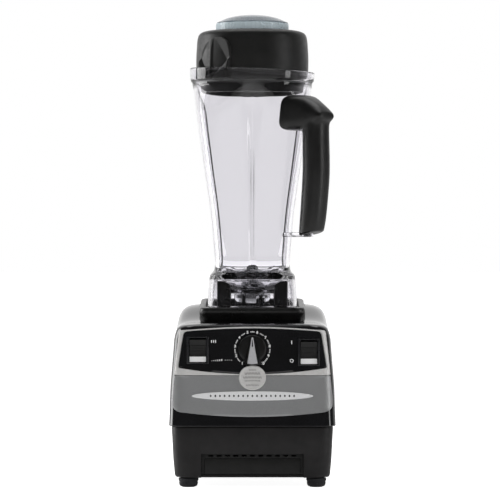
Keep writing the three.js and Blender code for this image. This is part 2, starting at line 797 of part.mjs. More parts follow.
const base = new THREE.Group();
base.add(
  piece("lower_housing", lowerHousing(), matteBlack),
  piece("bottom_plate", bottomPlate(), matteBlack),
  piece("intake_grille", intakeGrille(), matteBlack),
  piece("upper_housing", upperHousing(), glossBlack),
  piece("silver_border", silverBorder(), silverTrim),
  piece("control_plate", controlPlate(), glossBlack),
  piece("face_plate", onFace(facePlateOutline(), GAP, 1.4), facePaint),
  piece("centering_pad", centeringPad(), softBlack),
);
const CORNER_NAMES = ["front_left", "front_right", "rear_left", "rear_right"];
CORNERS.forEach(([sx, sy], i) => {
  const stand = piece("foot_" + CORNER_NAMES[i], foot(), footRubber);
  stand.position.set(sx * 69.4, sy * 85, 0);
  const screw = piece("housing_screw_" + CORNER_NAMES[i], housingScrew(), steel);
  screw.position.set(sx * 69.4, sy * 66, 0);
  base.add(stand, screw);
});
const gland = piece("cord_gland", ring(3.6, 7, 0, 13, 16), softBlack);
gland.rotation.x = -Math.PI / 2;
gland.position.set(46, 97.4, 24);
base.add(gland);

const face = new THREE.Group();
face.matrixAutoUpdate = false;
face.matrix.copy(faceMatrix);
for (const { name, x, up } of SWITCHES) {
  const group = new THREE.Group();
  group.position.set(x, up, 0);
  group.add(
    piece(name + "_bezel", bezel(), softBlack),
    piece(name + "_rocker", rocker(), softBlack),
    piece(name + "_switch_body", box(-9, 9, -12.6, 12.6, -26, -7), nylon),
  );
  face.add(group);
}
const medallionProfile = [[0, 2.4], [14.8, 2.4], [14.8, 3.6], [13, 4.6], [0, 4.2]];
const medallion = piece("medallion", turned(medallionProfile, 24), silverTrim);
medallion.position.set(0, (118.9 - FACE_Z) / Math.cos(FACE_TILT), 0);
medallion.scale.set(1, 0.92, 1);
const ovalPlate = piece("oval_plate", plate(oval(65.5, 5.1), 1.8, 3.2, 12), silverTrim);
ovalPlate.position.set(0, (99.3 - FACE_Z) / Math.cos(FACE_TILT), 0);
face.add(
  medallion,
  ovalPlate,
  piece("speed_knob", speedKnob(), softBlack),
  piece("knob_pointer", knobPointer(), silverTrim),
  piece("dial_shaft", cylinder(3, -6, 2, 16), steel),
  piece("dial_potentiometer", cylinder(12, -20, -6.4, 16), nylon),
);
base.add(face);

const motor = new THREE.Group();
motor.add(
  piece("motor_stator", stator(), laminate),
  piece("rotor_core", rotorCore(), laminate),
  piece("commutator", ring(SHAFT_RADIUS + GAP, 15, 62, 80, 20), copper),
  piece("cooling_fan", coolingFan(), nylon),
  piece("motor_shaft", cylinder(SHAFT_RADIUS, 18, 179.4, 12), steel),
  piece("upper_bracket", motorBracket(150, 160, 50), steel),
  piece("lower_bracket", motorBracket(44, 54, 44), steel),
  piece("upper_bearing", ring(SHAFT_RADIUS + GAP, 11, 151, 159, 16), steel),
  piece("lower_bearing", ring(SHAFT_RADIUS + GAP, 11, 45, 53, 16), steel),
  piece("carbon_brush_left", box(-40, -15.6, -4, 4, 66, 76), carbon),
  piece("carbon_brush_right", box(15.6, 40, -4, 4, 66, 76), carbon),
  piece("drive_socket", driveSocket(), steel),
  piece("control_board", controlBoard(), board),
);

const jarAssembly = new THREE.Group();
jarAssembly.add(
  piece("jar", jar(), clear),
  piece("handle", handle(), softBlack),
  piece("handle_screw_upper", toHandle(screwAt(HANDLE_SCREWS[0], 0)), steel),
  piece("handle_screw_lower", toHandle(screwAt(HANDLE_SCREWS[1], 0)), steel),
  piece("bearing_sleeve", bearingSleeve(), steel),
  piece("blade_bearing_upper", ring(SHAFT_RADIUS + GAP, 9.5, 214, 220, 16), steel),
  piece("blade_bearing_lower", ring(SHAFT_RADIUS + GAP, 9.5, 200, 206, 16), steel),
  piece("shaft_seal", ring(SHAFT_RADIUS + GAP, 9.5, 221, 225, 16), softBlack),
  piece("retainer_nut", retainerNut(), chrome),
  piece("blade_shaft", bladeShaft(), steel),
  piece("blade", blade(), steel),
  piece("blade_nut", turned([[5, 231.2], [7.5, 231.2], [7.5, 236], [5, 239], [5, 231.2]], 6), steel),
);

const lidAssembly = new THREE.Group();
lidAssembly.add(
  piece("lid", lid(), softBlack),
  piece("lid_plug", turned(plugProfile, 24), clear),
  piece("plug_seal", plugSeal(), softBlack),
);

blender.add(base, motor, jarAssembly, lidAssembly);
export default blender;
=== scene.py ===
# %% [markdown]
# # A countertop blender
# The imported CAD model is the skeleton: it fixes every size, every body and every joint. This lesson
# builds the fine surface of each visible piece round it, and gives each piece a finish made of nodes.
# Everything is in metres, in the frame of the CAD model, with the controls facing -Y.

# %% The frame and the names used all the way through
import json
import math
from contextlib import contextmanager
from functools import partial, partialmethod

import bmesh
import bpy
import numpy as np
from mathutils import Matrix, Vector


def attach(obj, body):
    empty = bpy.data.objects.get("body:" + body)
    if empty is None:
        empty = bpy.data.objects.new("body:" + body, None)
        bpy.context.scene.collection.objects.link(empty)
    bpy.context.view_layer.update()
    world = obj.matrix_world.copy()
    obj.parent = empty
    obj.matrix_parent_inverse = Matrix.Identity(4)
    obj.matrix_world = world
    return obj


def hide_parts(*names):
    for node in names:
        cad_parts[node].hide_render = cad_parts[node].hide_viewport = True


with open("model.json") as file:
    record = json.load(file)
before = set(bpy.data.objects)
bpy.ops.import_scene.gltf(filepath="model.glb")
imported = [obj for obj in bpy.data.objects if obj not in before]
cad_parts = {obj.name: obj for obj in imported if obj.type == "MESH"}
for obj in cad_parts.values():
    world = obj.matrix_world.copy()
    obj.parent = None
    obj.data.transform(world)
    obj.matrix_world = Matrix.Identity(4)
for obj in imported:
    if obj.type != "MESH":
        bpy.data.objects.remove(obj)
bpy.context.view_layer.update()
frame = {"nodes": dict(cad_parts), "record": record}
MM = 0.001
AIR = 0.35  # between pieces that touch, in mm
BODY_OF = {
    node: body
    for body, nodes in frame["record"]["behaviour"]["bodies"].items()
    for node in nodes
}

# %% [markdown]
# ## Camera
# The machine is seen square from the front, from so far away that its upright edges stay upright.
# A long lens does that. A camera that looks level keeps them parallel, so nothing needs to be shifted.

# %% Camera
CAMERA_PLACE = (-0.0026, -3.3, 0.2572)
LENS = 213.0

camera_data = bpy.data.cameras.new("camera")
camera_data.lens = LENS
camera_data.sensor_width = 36
camera_data.clip_end = 100
camera = bpy.data.objects.new("camera", camera_data)
camera.location = CAMERA_PLACE
camera.rotation_euler = (math.pi / 2, 0, 0)
bpy.context.scene.collection.objects.link(camera)
bpy.context.scene.camera = camera
print("camera", camera.location[:])

# %% [markdown]
# ## Light
# Gloss black and clear plastic show nothing of their own, only what stands round them. A tall soft
# light at each side lies as a pale patch on the base's shoulders, one from above lights the floor
# and the lid, and one in front lifts the pale parts. Through the jar only the white backdrop shows,
# so the lights at the sides and in front can't be seen through it.

# %% Lights
AIM = (0, 0, 0.27)
LIGHTS = {  # place, width, height, power, seen through the jar, mirrored in gloss
    "light_left": ((-1.6, 0.55, 0.6), 0.8, 1.4, 16, False, True),
    "light_right": ((1.5, -0.6, 0.6), 0.3, 1.4, 5, False, True),
    "light_top": ((0, 0.35, 2.1), 1.6, 1.2, 14, True, True),
    "light_front": ((-0.5, -2.6, 1.6), 1.4, 1, 31, False, False),
}
for name, (place, width, height, power, seen_through, mirrored) in LIGHTS.items():
    data = bpy.data.lights.new(name, "AREA")
    data.shape = "RECTANGLE"
    data.size, data.size_y, data.energy = width, height, power
    light = bpy.data.objects.new(name, data)
    light.location = place
    light.rotation_mode = "QUATERNION"
    light.rotation_quaternion = (Vector(AIM) - Vector(place)).to_track_quat("-Z", "Y")
    light.visible_transmission, light.visible_glossy = seen_through, mirrored
    bpy.context.scene.collection.objects.link(light)
print("lights", *LIGHTS)


# %% Helpers that build node trees
def node_in(tree, kind, inputs=None, **settings):
    """A node in a tree. Each input is linked when it is given a socket, and set when given a value."""
    node = tree.nodes.new(kind)
    for key, value in settings.items():
        setattr(node, key, value)
    for key, value in (inputs or {}).items():
        value = getattr(value, "socket", value)
        if isinstance(value, bpy.types.NodeSocket):
            tree.links.new(value, node.inputs[key])
        else:
            node.inputs[key].default_value = value
    return node


def add_node(owner, kind, inputs=None, **settings):
    """A node in the tree of a material or of the world."""
    return node_in(owner.node_tree, kind, inputs, **settings)


def math_of(owner, operation, first, second):
    return add_node(owner, "ShaderNodeMath", {0: first, 1: second}, operation=operation).outputs[0]


def mapped(owner, value, from_low, from_high, low, high=1.0):
    """A number carried over from one range to another, and held at its ends."""
    inputs = {"Value": value, "From Min": from_low, "From Max": from_high, "To Min": low, "To Max": high}
    return add_node(owner, "ShaderNodeMapRange", inputs).outputs[0]


# %% [markdown]
# ## The room
# The room is white where it is looked at. Where it is only mirrored it is white behind the machine,
# as a backdrop is, and dim in front, so that black pieces stay black. Seen through the jar it is
# white straight behind, and dim where an edge of the jar bends the view far aside.

# %% World
DIM_ROOM = 0.07
MIRRORED_FROM, MIRRORED_TO = 0.25, 0.8  # how far towards the back a direction points
THROUGH_FROM, THROUGH_TO = 0.45, 0.95
world = bpy.data.worlds.new("white_room")
world.use_nodes = True
background = world.node_tree.nodes["Background"]
background.inputs["Color"].default_value = (1, 1, 1, 1)
rays = add_node(world, "ShaderNodeLightPath").outputs
direction = add_node(world, "ShaderNodeTexCoord").outputs["Generated"]
backwards = add_node(world, "ShaderNodeSeparateXYZ", {0: direction}).outputs["Y"]
backdrop = mapped(world, backwards, MIRRORED_FROM, MIRRORED_TO, DIM_ROOM)
through = mapped(world, backwards, THROUGH_FROM, THROUGH_TO, DIM_ROOM)
clear_view = math_of(world, "MULTIPLY", through, rays["Is Transmission Ray"])
seen = math_of(world, "MAXIMUM", rays["Is Camera Ray"], clear_view)
brightness = math_of(world, "MAXIMUM", seen, backdrop)
world.node_tree.links.new(brightness, background.inputs["Strength"])
bpy.context.scene.world = world
print("world", len(world.node_tree.nodes), "nodes")

# %% [markdown]
# ## Finishes
# Each finish is one small function. `finish` makes the Principled shader, and the helpers below it
# add what the eye looks for: moulded grain, fine brushing, or a slight waviness in a polished skin.
# All of them read Object coordinates, in metres, so a grain of 0.4 mm is a noise scale of 2500.

# %% Helpers that build a finish out of nodes
NOISE_RANGE = (0.3, 0.7)  # where nearly all of a noise's numbers lie


def finish(name, colour, roughness, **sockets):
    material = bpy.data.materials.new(name)
    material.use_nodes = True
    shader = material.node_tree.nodes["Principled BSDF"]
    shader.inputs["Base Color"].default_value = (*colour, 1)
    shader.inputs["Roughness"].default_value = roughness
    for socket, value in sockets.items():
        shader.inputs[socket.replace("_", " ")].default_value = value
    material.diffuse_color = (*colour, 1)
    return material


def object_point(material, scale=(1, 1, 1)):
    place = add_node(material, "ShaderNodeTexCoord").outputs["Object"]
    return add_node(material, "ShaderNodeMapping", {"Vector": place, "Scale": scale}).outputs[0]


def link_shader(material, socket, value):
    shader = material.node_tree.nodes["Principled BSDF"]
    material.node_tree.links.new(value, shader.inputs[socket])


def noise(material, scale, detail=3, stretch=(1, 1, 1)):
    inputs = {"Vector": object_point(material, stretch), "Scale": scale, "Detail": detail}
    return add_node(material, "ShaderNodeTexNoise", inputs).outputs["Fac"]


def add_bump(material, height, strength, distance):
    inputs = {"Height": height, "Strength": strength, "Distance": distance}
    link_shader(material, "Normal", add_node(material, "ShaderNodeBump", inputs).outputs[0])


def vary(material, socket, fac, low, high):
    """Spreads a number on the shader between low and high, following fac."""
    link_shader(material, socket, mapped(material, fac, *NOISE_RANGE, low, high))


def vary_colour(material, fac, dark, light):
    ramp = add_node(material, "ShaderNodeValToRGB", {"Fac": fac})
    for stop, position, colour in zip(ramp.color_ramp.elements, NOISE_RANGE, (dark, light)):
        stop.position, stop.color = position, (*colour, 1)
    link_shader(material, "Base Color", ramp.outputs["Color"])


# %% The plastics and rubbers
def moulded(name, dark, light, roughness, grain_scale, grain_depth, **sockets):
    """Black plastic or rubber with a fine moulded grain and a little unevenness in its sheen."""
    material = finish(name, light, roughness, **sockets)
    vary_colour(material, noise(material, 45, 4), dark, light)
    vary(material, "Roughness", noise(material, 160, 5), roughness * 0.85, roughness * 1.18)
    add_bump(material, noise(material, grain_scale, 4), 0.5, grain_depth)
    return material


def polished(name, dark, light, roughness):
    """A glossy moulding: nearly flat, with a long slow waviness and faint wiping marks."""
    material = finish(name, light, roughness, Coat_Weight=0.35, Coat_Roughness=0.03)
    vary_colour(material, noise(material, 30, 3), dark, light)
    wiped = noise(material, 900, 5, (1, 0.15, 0.4))
    vary(material, "Roughness", wiped, roughness * 0.8, roughness * 1.35)
    add_bump(material, noise(material, 55, 2), 0.12, 0.15 * MM)
    return material


GLOSS_BLACK = polished("gloss_black_moulding", (0.0035, 0.0035, 0.004), (0.006, 0.006, 0.007), 0.07)
MATTE_BLACK = moulded(
    "grained_charcoal_moulding", (0.009, 0.0083, 0.0086), (0.0135, 0.0125, 0.0128), 0.46, 2600,
    0.05 * MM, Specular_IOR_Level=0.32,
)
RUBBER = moulded(
    "satin_rubber", (0.006, 0.006, 0.0058), (0.01, 0.0099, 0.0096), 0.42, 1900, 0.03 * MM,
    Specular_IOR_Level=0.35,
)
PAD_RUBBER = moulded("pad_rubber", (0.006, 0.006, 0.006), (0.011, 0.0108, 0.0105), 0.3, 1500, 0.03 * MM)
FOOT_RUBBER = moulded("foot_rubber", (0.012, 0.012, 0.014), (0.02, 0.02, 0.024), 0.7, 1200, 0.08 * MM)
GRIP_BLACK = moulded(
    "grip_moulding", (0.005, 0.0049, 0.0048), (0.008, 0.0079, 0.0076), 0.34, 2400, 0.03 * MM,
    Specular_IOR_Level=0.4,
)
DARK_NYLON = moulded("dark_nylon", (0.008, 0.008, 0.0095), (0.014, 0.014, 0.0165), 0.3, 1500, 0.02 * MM)


# %% The metals and paints
def brushed(name, dark, light, roughness, stretch, depth=0.012 * MM, metallic=1.0):
    """Metal with fine lines drawn along one axis."""
    material = finish(name, light, roughness, Metallic=metallic)
    lines = noise(material, 700, 6, stretch)
    vary_colour(material, lines, dark, light)
    vary(material, "Roughness", lines, roughness * 0.75, roughness * 1.3)
    add_bump(material, lines, 0.35, depth)
    return material


def metallic_paint():
    """Grey lacquer over metal flakes: each cell of the flake pattern is a little lighter or darker."""
    material = finish("flake_grey_lacquer", (0.28, 0.28, 0.28), 0.36, Metallic=0.45, Coat_Weight=0.2)
    inputs = {"Vector": object_point(material), "Scale": 3800}
    flake = add_node(material, "ShaderNodeTexVoronoi", inputs).outputs["Distance"]
    vary_colour(material, flake, (0.27, 0.273, 0.277), (0.385, 0.389, 0.393))
    vary(material, "Roughness", noise(material, 300, 4), 0.3, 0.42)
    add_bump(material, noise(material, 1600, 3), 0.12, 0.02 * MM)
    return material


STEEL = brushed("brushed_steel", (0.36, 0.365, 0.375), (0.56, 0.565, 0.58), 0.24, (1, 1, 0.05))
FINE = 0.003 * MM  # the depth of lines that can hardly be felt
SILVER = brushed("satin_silver", (0.6, 0.593, 0.583), (0.7, 0.692, 0.68), 0.42, (0.3, 1, 2), FINE, 0.25)
POINTER_SILVER = brushed(
    "pointer_silver", (0.5, 0.5, 0.515), (0.6, 0.6, 0.615), 0.34, (2, 0.3, 1), FINE, 0.3
)
OVAL_SILVER = brushed(
    "oval_silver", (0.76, 0.76, 0.77), (0.86, 0.86, 0.87), 0.45, (0.3, 1, 2), FINE, 0.12
)
ENGRAVED = brushed(
    "engraved_silver", (0.2, 0.19, 0.188), (0.28, 0.265, 0.262), 0.5, (1, 1, 1), FINE, 0.3
)
CHROME = brushed("bright_chrome", (0.78, 0.79, 0.81), (0.9, 0.91, 0.93), 0.06, (1, 1, 0.2), FINE)
LAMINATE = brushed("motor_laminations", (0.1, 0.1, 0.105), (0.2, 0.2, 0.21), 0.42, (0.02, 0.02, 1))
COPPER = brushed("turned_copper", (0.5, 0.22, 0.1), (0.78, 0.38, 0.2), 0.3, (1, 1, 0.05))
FACE_GREY = metallic_paint()
CARBON = moulded("pressed_carbon", (0.012, 0.012, 0.013), (0.028, 0.028, 0.03), 0.65, 3000, 0.05 * MM)
BOARD = moulded("board_lacquer", (0.01, 0.07, 0.025), (0.018, 0.12, 0.045), 0.35, 800, 0.02 * MM)
WHITE_PRINT = moulded("white_print", (0.8, 0.8, 0.8), (0.9, 0.9, 0.9), 0.4, 2500, 0.01 * MM)


# %% The clear plastics
def clear_plastic(name, tint, roughness, clearness=1.0):
    """Clear moulded plastic: a tint and slight flow marks that bend what is seen through it. The jar's tint is
    faint; the plug's tints are painted shade and painted light.
    """
    material = finish(name, tint, roughness, Transmission_Weight=clearness, IOR=1.47)
    add_bump(material, noise(material, 30, 1, (1, 1, 0.35)), 0.03, 0.2 * MM)
    vary(material, "Roughness", noise(material, 60, 2), roughness * 0.85, roughness * 1.2)
    return material


JAR_CLEAR = clear_plastic("clear_jar", (0.87, 0.862, 0.888), 0.01)
# The plug's dark blue-grey tint is painted shade: it stands for the dark room above, which the dome mirrors.
PLUG_CLEAR_PAINTED_SHADE = clear_plastic("clear_plug", (0.36, 0.43, 0.485), 0.16, 0.62)
# The band's frosting (rougher and less clear) is its own; its pale tint is painted light.
PLUG_BAND_PAINTED_LIGHT = clear_plastic("frosted_plug_band_painted_light", (0.78, 0.9, 0.96), 0.25, 0.3)

# %% [markdown]
# ## The CAD nodes' own finishes
# The pieces inside the machine keep their CAD shape. They still get a finish each, by the material
# slot that the record gives them.

# %% Give every CAD node its finish
FINISH_OF_SLOT = {
    "matte_black": MATTE_BLACK,
    "gloss_black": GLOSS_BLACK,
    "face_grey": FACE_GREY,
    "silver": SILVER,
    "rubber_black": RUBBER,
    "foot_rubber": FOOT_RUBBER,
    "soft_black": GRIP_BLACK,
    "clear": JAR_CLEAR,
    "steel": STEEL,
    "chrome": CHROME,
    "laminate": LAMINATE,
    "copper": COPPER,
    "nylon": DARK_NYLON,
    "carbon": CARBON,
    "board": BOARD,
}
for entry in frame["record"]["subparts"]:
    node = frame["nodes"][entry["node"]]
    node.data.materials.clear()
    node.data.materials.append(FINISH_OF_SLOT[entry["material_slot"]])


# %% [markdown]
# ## From points to pieces
# Every piece ends the same way: a mesh whose faces point outwards, on an object at the origin, that
# rides on its body and stands for its CAD nodes. `settle` does that once, so no piece forgets it.

# %% Helpers that turn points into a finished piece
WELD = 0.002 * MM  # points closer than this become one
SMOOTH_ANGLE = 32  # degrees, above which an edge stays sharp


@contextmanager
def reshaped(mesh):
    """The mesh opened for editing, and written back afterwards."""
    shape = bmesh.new()
    shape.from_mesh(mesh)
    yield shape
    shape.to_mesh(mesh)
    shape.free()


def mesh_of(points, faces):
    mesh = bpy.data.meshes.new("shape")
    mesh.from_pydata([tuple(p) for p in points], [], faces)
    mesh.update()
    return mesh


def tidy_normals(mesh, merge=WELD):
    with reshaped(mesh) as shape:
        bmesh.ops.remove_doubles(shape, verts=shape.verts, dist=merge)
        bmesh.ops.recalc_face_normals(shape, faces=shape.faces)
    return mesh


def scratch_object(mesh):
    thing = bpy.data.objects.new("scratch", mesh)
    bpy.context.scene.collection.objects.link(thing)
    return thing


def baked(thing):
    """The evaluated mesh of an object with modifiers; the object itself goes."""
    bpy.context.view_layer.update()
    graph = bpy.context.evaluated_depsgraph_get()
    mesh = bpy.data.meshes.new_from_object(thing.evaluated_get(graph))
    bpy.data.objects.remove(thing)
    return mesh


def finished(name, mesh, material, smooth_angle):
    """An object at the origin with one finish, smooth except at its sharp edges."""
    mesh.name = name
    mesh.materials.clear()
    mesh.materials.append(material)
    mesh.polygons.foreach_set("material_index", [0] * len(mesh.polygons))
    mesh.polygons.foreach_set("use_smooth", [True] * len(mesh.polygons))
    mesh.set_sharp_from_angle(angle=math.radians(smooth_angle))
    piece = bpy.data.objects.new(name, mesh)
    bpy.context.scene.collection.objects.link(piece)
    return piece


def settle(name, mesh, material, replaced, smooth_angle=SMOOTH_ANGLE):
    """A finished piece that rides on the body of the CAD nodes that it stands for."""
    piece = finished(name, mesh, material, smooth_angle)
    nodes = [replaced] if isinstance(replaced, str) else replaced
    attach(piece, BODY_OF[nodes[0]])
    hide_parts(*nodes)
    print(name, len(mesh.polygons), "faces, for", *nodes)


def decoration(name, mesh, material, beside):
    """A piece with no CAD node of its own, that rides on the body of one."""
    piece = finished(name, mesh, material, SMOOTH_ANGLE)
    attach(piece, BODY_OF[beside])
    print(name, len(mesh.polygons), "faces, beside", beside)


def modified(mesh, *modifiers):
    """Applies modifiers, each given as a type and its settings."""
    thing = scratch_object(mesh)
    for kind, settings in modifiers:
        modifier = thing.modifiers.new(kind.lower(), kind)
        for key, value in settings.items():
            setattr(modifier, key, value)
    return baked(thing)


def bevelled(mesh, width, segments=3, angle=35):
    settings = {
        "width": width,
        "segments": segments,
        "limit_method": "ANGLE",
        "angle_limit": math.radians(angle),
    }
    return modified(mesh, ("BEVEL", settings))


def cut(mesh, *cutters, operation="DIFFERENCE"):
    """Takes each cutter mesh away from a mesh (or joins it on)."""
    for cutter in cutters:
        tool = scratch_object(cutter)
        settings = {"object": tool, "operation": operation, "solver": "EXACT"}
        mesh = modified(mesh, ("BOOLEAN", settings))
        bpy.data.objects.remove(tool)
    return mesh


def joined(*meshes):
    """Several meshes in one, each left as its own closed shell."""
    whole = bpy.data.meshes.new("joined")
    with reshaped(whole) as shape:
        for mesh in meshes:
            shape.from_mesh(mesh)
    return whole


def moved(mesh, matrix):
    mesh.transform(matrix)
    if matrix.determinant() < 0:
        mesh.flip_normals()
    return mesh


def block(low, high):
    """A box between two corners."""
    low, high = np.array(low, float), np.array(high, float)
    mesh = bpy.data.meshes.new("block")
    with reshaped(mesh) as shape:
        bmesh.ops.create_cube(shape, size=1)
        bmesh.ops.scale(shape, vec=high - low, verts=shape.verts)
        bmesh.ops.translate(shape, vec=(high + low) / 2, verts=shape.verts)
    return mesh


def skin(rings, closed=False):
    """Quads between rings of points (rings, points round, 3); the end rings are capped unless closed."""
    rings = np.asarray(rings, float)
    rows, count = rings.shape[:2]
    faces = []
    for i in range(rows if closed else rows - 1):
        a, b = i * count, ((i + 1) % rows) * count
        for j in range(count):
            k = (j + 1) % count
            faces.append((a + j, a + k, b + k, b + j))
    if not closed:
        faces.append(tuple(range(count))[::-1])
        faces.append(tuple((rows - 1) * count + j for j in range(count)))
    return tidy_normals(mesh_of(rings.reshape(-1, 3), faces))


def skin_mm(rings, closed=False):
    return skin(np.array(rings) * MM, closed)


def at_height(flat, z):
    """Points in a plane, given as X and Y, put at height z."""
    return np.column_stack([flat, np.full(len(flat), z)])


def flow(rows, steps=6):
    """A smooth curve through rows of numbers (Catmull-Rom), with steps points to each stretch."""
    rows = np.asarray(rows, float)
    ends = np.vstack([2 * rows[0] - rows[1], rows, 2 * rows[-1] - rows[-2]])
    t = np.linspace(0, 1, steps, endpoint=False)[:, None]
    out = []
    for a, b, c, d in zip(ends, ends[1:], ends[2:], ends[3:]):
        bend, twist = 2 * a - 5 * b + 4 * c - d, 3 * b - a - 3 * c + d
        out.append(0.5 * (2 * b + (c - a) * t + bend * t**2 + twist * t**3))
    return np.vstack([*out, rows[-1:]])


def rounded(rows, closed=False):
    """Rounds the corners of a profile. Each row ends with how far its rounding reaches."""
    rows = np.asarray(rows, float)
    points, reach = rows[:, :-1], rows[:, -1]
    out = []
    for i, here in enumerate(points):
        at_end = not closed and i in (0, len(points) - 1)
        if at_end or reach[i] <= 0:
            out.append(here[None])
            continue
        before, after = points[i - 1], points[(i + 1) % len(points)]
        arms = []
        for other in (before, after):
            length = np.linalg.norm((other - here)[:2])
            arms.append(here + (other - here) * min(reach[i] / max(length, 1e-9), 0.49))
        t = np.linspace(0, 1, 5)[:, None]
        out.append((1 - t) ** 2 * arms[0] + 2 * t * (1 - t) * here + t**2 * arms[1])
    return np.vstack(out)


# %% [markdown]
# ## A formula inside a node tree
# A node tree does arithmetic with one node for each sign. The small class below makes such a node
# whenever two numbers are added or multiplied, so a formula can be read as a formula.

# %% Numbers, trees and how a tree is run
class Number:
    """A number that flows through a node tree."""

    def __init__(self, tree, socket):
        self.tree, self.socket = tree, socket

    def run(self, operation, *others):
        node = self.tree.nodes.new("ShaderNodeMath")
        node.operation = operation
        for slot, value in zip(node.inputs, (self, *others)):
            if isinstance(value, Number):
                self.tree.links.new(value.socket, slot)
            else:
                slot.default_value = value
        return Number(self.tree, node.outputs[0])


SIGNS = {"add": "ADD", "sub": "SUBTRACT", "mul": "MULTIPLY", "truediv": "DIVIDE", "pow": "POWER"}
for sign, operation in SIGNS.items():
    setattr(Number, f"__{sign}__", partialmethod(Number.run, operation))


def new_tree(name, **sockets):
    """A geometry tree with named inputs, its input node, and a function that adds a node to it."""
    tree = bpy.data.node_groups.new(name, "GeometryNodeTree")
    tree.interface.new_socket("Geometry", in_out="INPUT", socket_type="NodeSocketGeometry")
    for socket, kind in sockets.items():
        tree.interface.new_socket(socket, in_out="INPUT", socket_type="NodeSocket" + kind)
    tree.interface.new_socket("Geometry", in_out="OUTPUT", socket_type="NodeSocketGeometry")
    start = tree.nodes.new("NodeGroupInput")

    return tree, start, partial(node_in, tree)


def end_tree(tree, geometry, finish_input):
    """Every tree ends alike: copies are made real, and then get their finish."""
    real = node_in(tree, "GeometryNodeRealizeInstances", {"Geometry": geometry}).outputs[0]
    last = node_in(tree, "GeometryNodeSetMaterial", {"Geometry": real, "Material": finish_input})
    tree.links.new(last.outputs[0], tree.nodes.new("NodeGroupOutput").inputs[0])
    return tree


def run_tree(tree, points, **values):
    """Runs a tree on a mesh and gives back the plain mesh that it makes."""
    thing = scratch_object(points)
    modifier = thing.modifiers.new("tree", "NODES")
    modifier.node_group = tree
    names = {item.name: item.identifier for item in tree.interface.items_tree if item.in_out == "INPUT"}
    for name, value in values.items():
        modifier[names[name]] = value
    return baked(thing)


def points_with(places, **attributes):
    """A mesh of bare points that carry named numbers or vectors."""
    mesh = bpy.data.meshes.new("points")
    mesh.from_pydata([tuple(p) for p in places], [], [])
    for name, values in attributes.items():
        values = np.asarray(values, float)
        kind, key = ("FLOAT", "value") if values.ndim == 1 else ("FLOAT_VECTOR", "vector")
        mesh.attributes.new(name, kind, "POINT").data.foreach_set(key, values.ravel())
    return mesh


# %% [markdown]
# ## The stack of rings
# The jar follows a rule: each level is a square whose corners are more or less round, with a flute
# down the middle of each side. So one tree makes it. A profile gives the half width, roundness and
# flute of each level, and the tree wraps those levels round the axis. With roundness 2 the square
# is a circle, so the same tree also turns the lid, the plug, the feet and the dial.

# %% The ring stack tree
STACK_NUMBERS = ("half", "height", "power", "groove", "spread", "lip")
SPOUT_ANGLE, SPOUT_SPREAD = 0.75 * math.pi, 0.28  # at the back left corner, across from the handle
SPOUT_OUT, SPOUT_UP = 6 * MM, 2.5 * MM
RIM_HIGH_AT, RIM_TILT = 2.7, 3 * MM


def ring_stack_tree():
    tree, start, node = new_tree("ring_stack", Columns="Int", Finish="Material")
    profile = start.outputs["Geometry"]
    size = node("GeometryNodeAttributeDomainSize", {"Geometry": profile}, component="MESH")
    rows = size.outputs["Point Count"]
    columns = Number(tree, start.outputs["Columns"])
    grid = node("GeometryNodeMeshGrid", {"Vertices X": columns + 1, "Vertices Y": rows}).outputs["Mesh"]
    index = Number(tree, node("GeometryNodeInputIndex").outputs[0])
    rows = Number(tree, rows)
    column = (index / rows).run("FLOOR")
    row = index.run("MODULO", rows)
    here = {}
    for name in STACK_NUMBERS:
        value = node("GeometryNodeInputNamedAttribute", {"Name": name}, data_type="FLOAT").outputs[0]
        sample = {"Geometry": profile, "Value": value, "Index": row}
        sampled = node("GeometryNodeSampleIndex", sample, data_type="FLOAT", domain="POINT")
        here[name] = Number(tree, sampled.outputs[0])

    angle = column / columns * (2 * math.pi)
    across, along = angle.run("COSINE"), angle.run("SINE")
    power = here["power"]
    roundness = across.run("ABSOLUTE") ** power + along.run("ABSOLUTE") ** power
    radius = here["half"] * roundness ** ((power * 0 - 1.0) / power)
    # Distance from the middle of the nearest side sets how deep the flute is there.
    sideways = (across * radius).run("ABSOLUTE").run("MINIMUM", (along * radius).run("ABSOLUTE"))
    share = (sideways / here["spread"]).run("MINIMUM", 1.0)
    flute = (share * math.pi).run("COSINE") + 1.0
    sharp = (share * -1.0 + 1.0) * 0.55 + flute * 0.225
    radius = radius - here["groove"] * sharp
    # The pouring lip bulges at one corner, and the rim rises towards it.
    turn = (angle - SPOUT_ANGLE) / SPOUT_SPREAD
    bulge = (turn * turn * -1.0).run("EXPONENT")
    radius = radius + bulge * here["lip"].run("ABSOLUTE") * SPOUT_OUT
    tilt = (angle - RIM_HIGH_AT).run("COSINE") * RIM_TILT + bulge * SPOUT_UP
    height = here["height"] + tilt * here["lip"].run("MAXIMUM", 0.0)
    place = node("ShaderNodeCombineXYZ", {"X": across * radius, "Y": along * radius, "Z": height})
    set_place = {"Geometry": grid, "Position": place.outputs[0]}
    shaped = node("GeometryNodeSetPosition", set_place).outputs[0]
    closed = node("GeometryNodeMergeByDistance", {"Geometry": shaped, "Distance": WELD})
    return end_tree(tree, closed.outputs[0], start.outputs["Finish"])


RING_STACK = ring_stack_tree()


def ring_stack(rows, material, columns=96):
    """Rows of half, height, power, groove, spread (in mm) and lip become a closed body."""
    rows = np.asarray(rows, float).copy()
    rows[:, [0, 1, 3, 4]] *= MM
    numbers = dict(zip(STACK_NUMBERS, rows.T))
    profile = points_with(np.zeros((len(rows), 3)), **numbers)
    return tidy_normals(run_tree(RING_STACK, profile, Columns=columns, Finish=material))


def turned(profile, material, columns=96, closed=False):
    """A body turned about Z, from rows of radius, z and how far the corner is rounded, in mm."""
    line = rounded(profile, closed=closed)
    if closed:
        line = np.vstack([line, line[:1]])
    plain = np.tile([2.0, 0, 1, 0], (len(line), 1))
    return ring_stack(np.hstack([line, plain]), material, columns)


def rod(radius, low, high, columns=48):
    """A plain upright cylinder to cut a hole with, in mm."""
    return turned([(0, low, 0), (radius, low, 0), (radius, high, 0), (0, high, 0)], STEEL, columns)


print("ring stack", len(RING_STACK.nodes), "nodes")


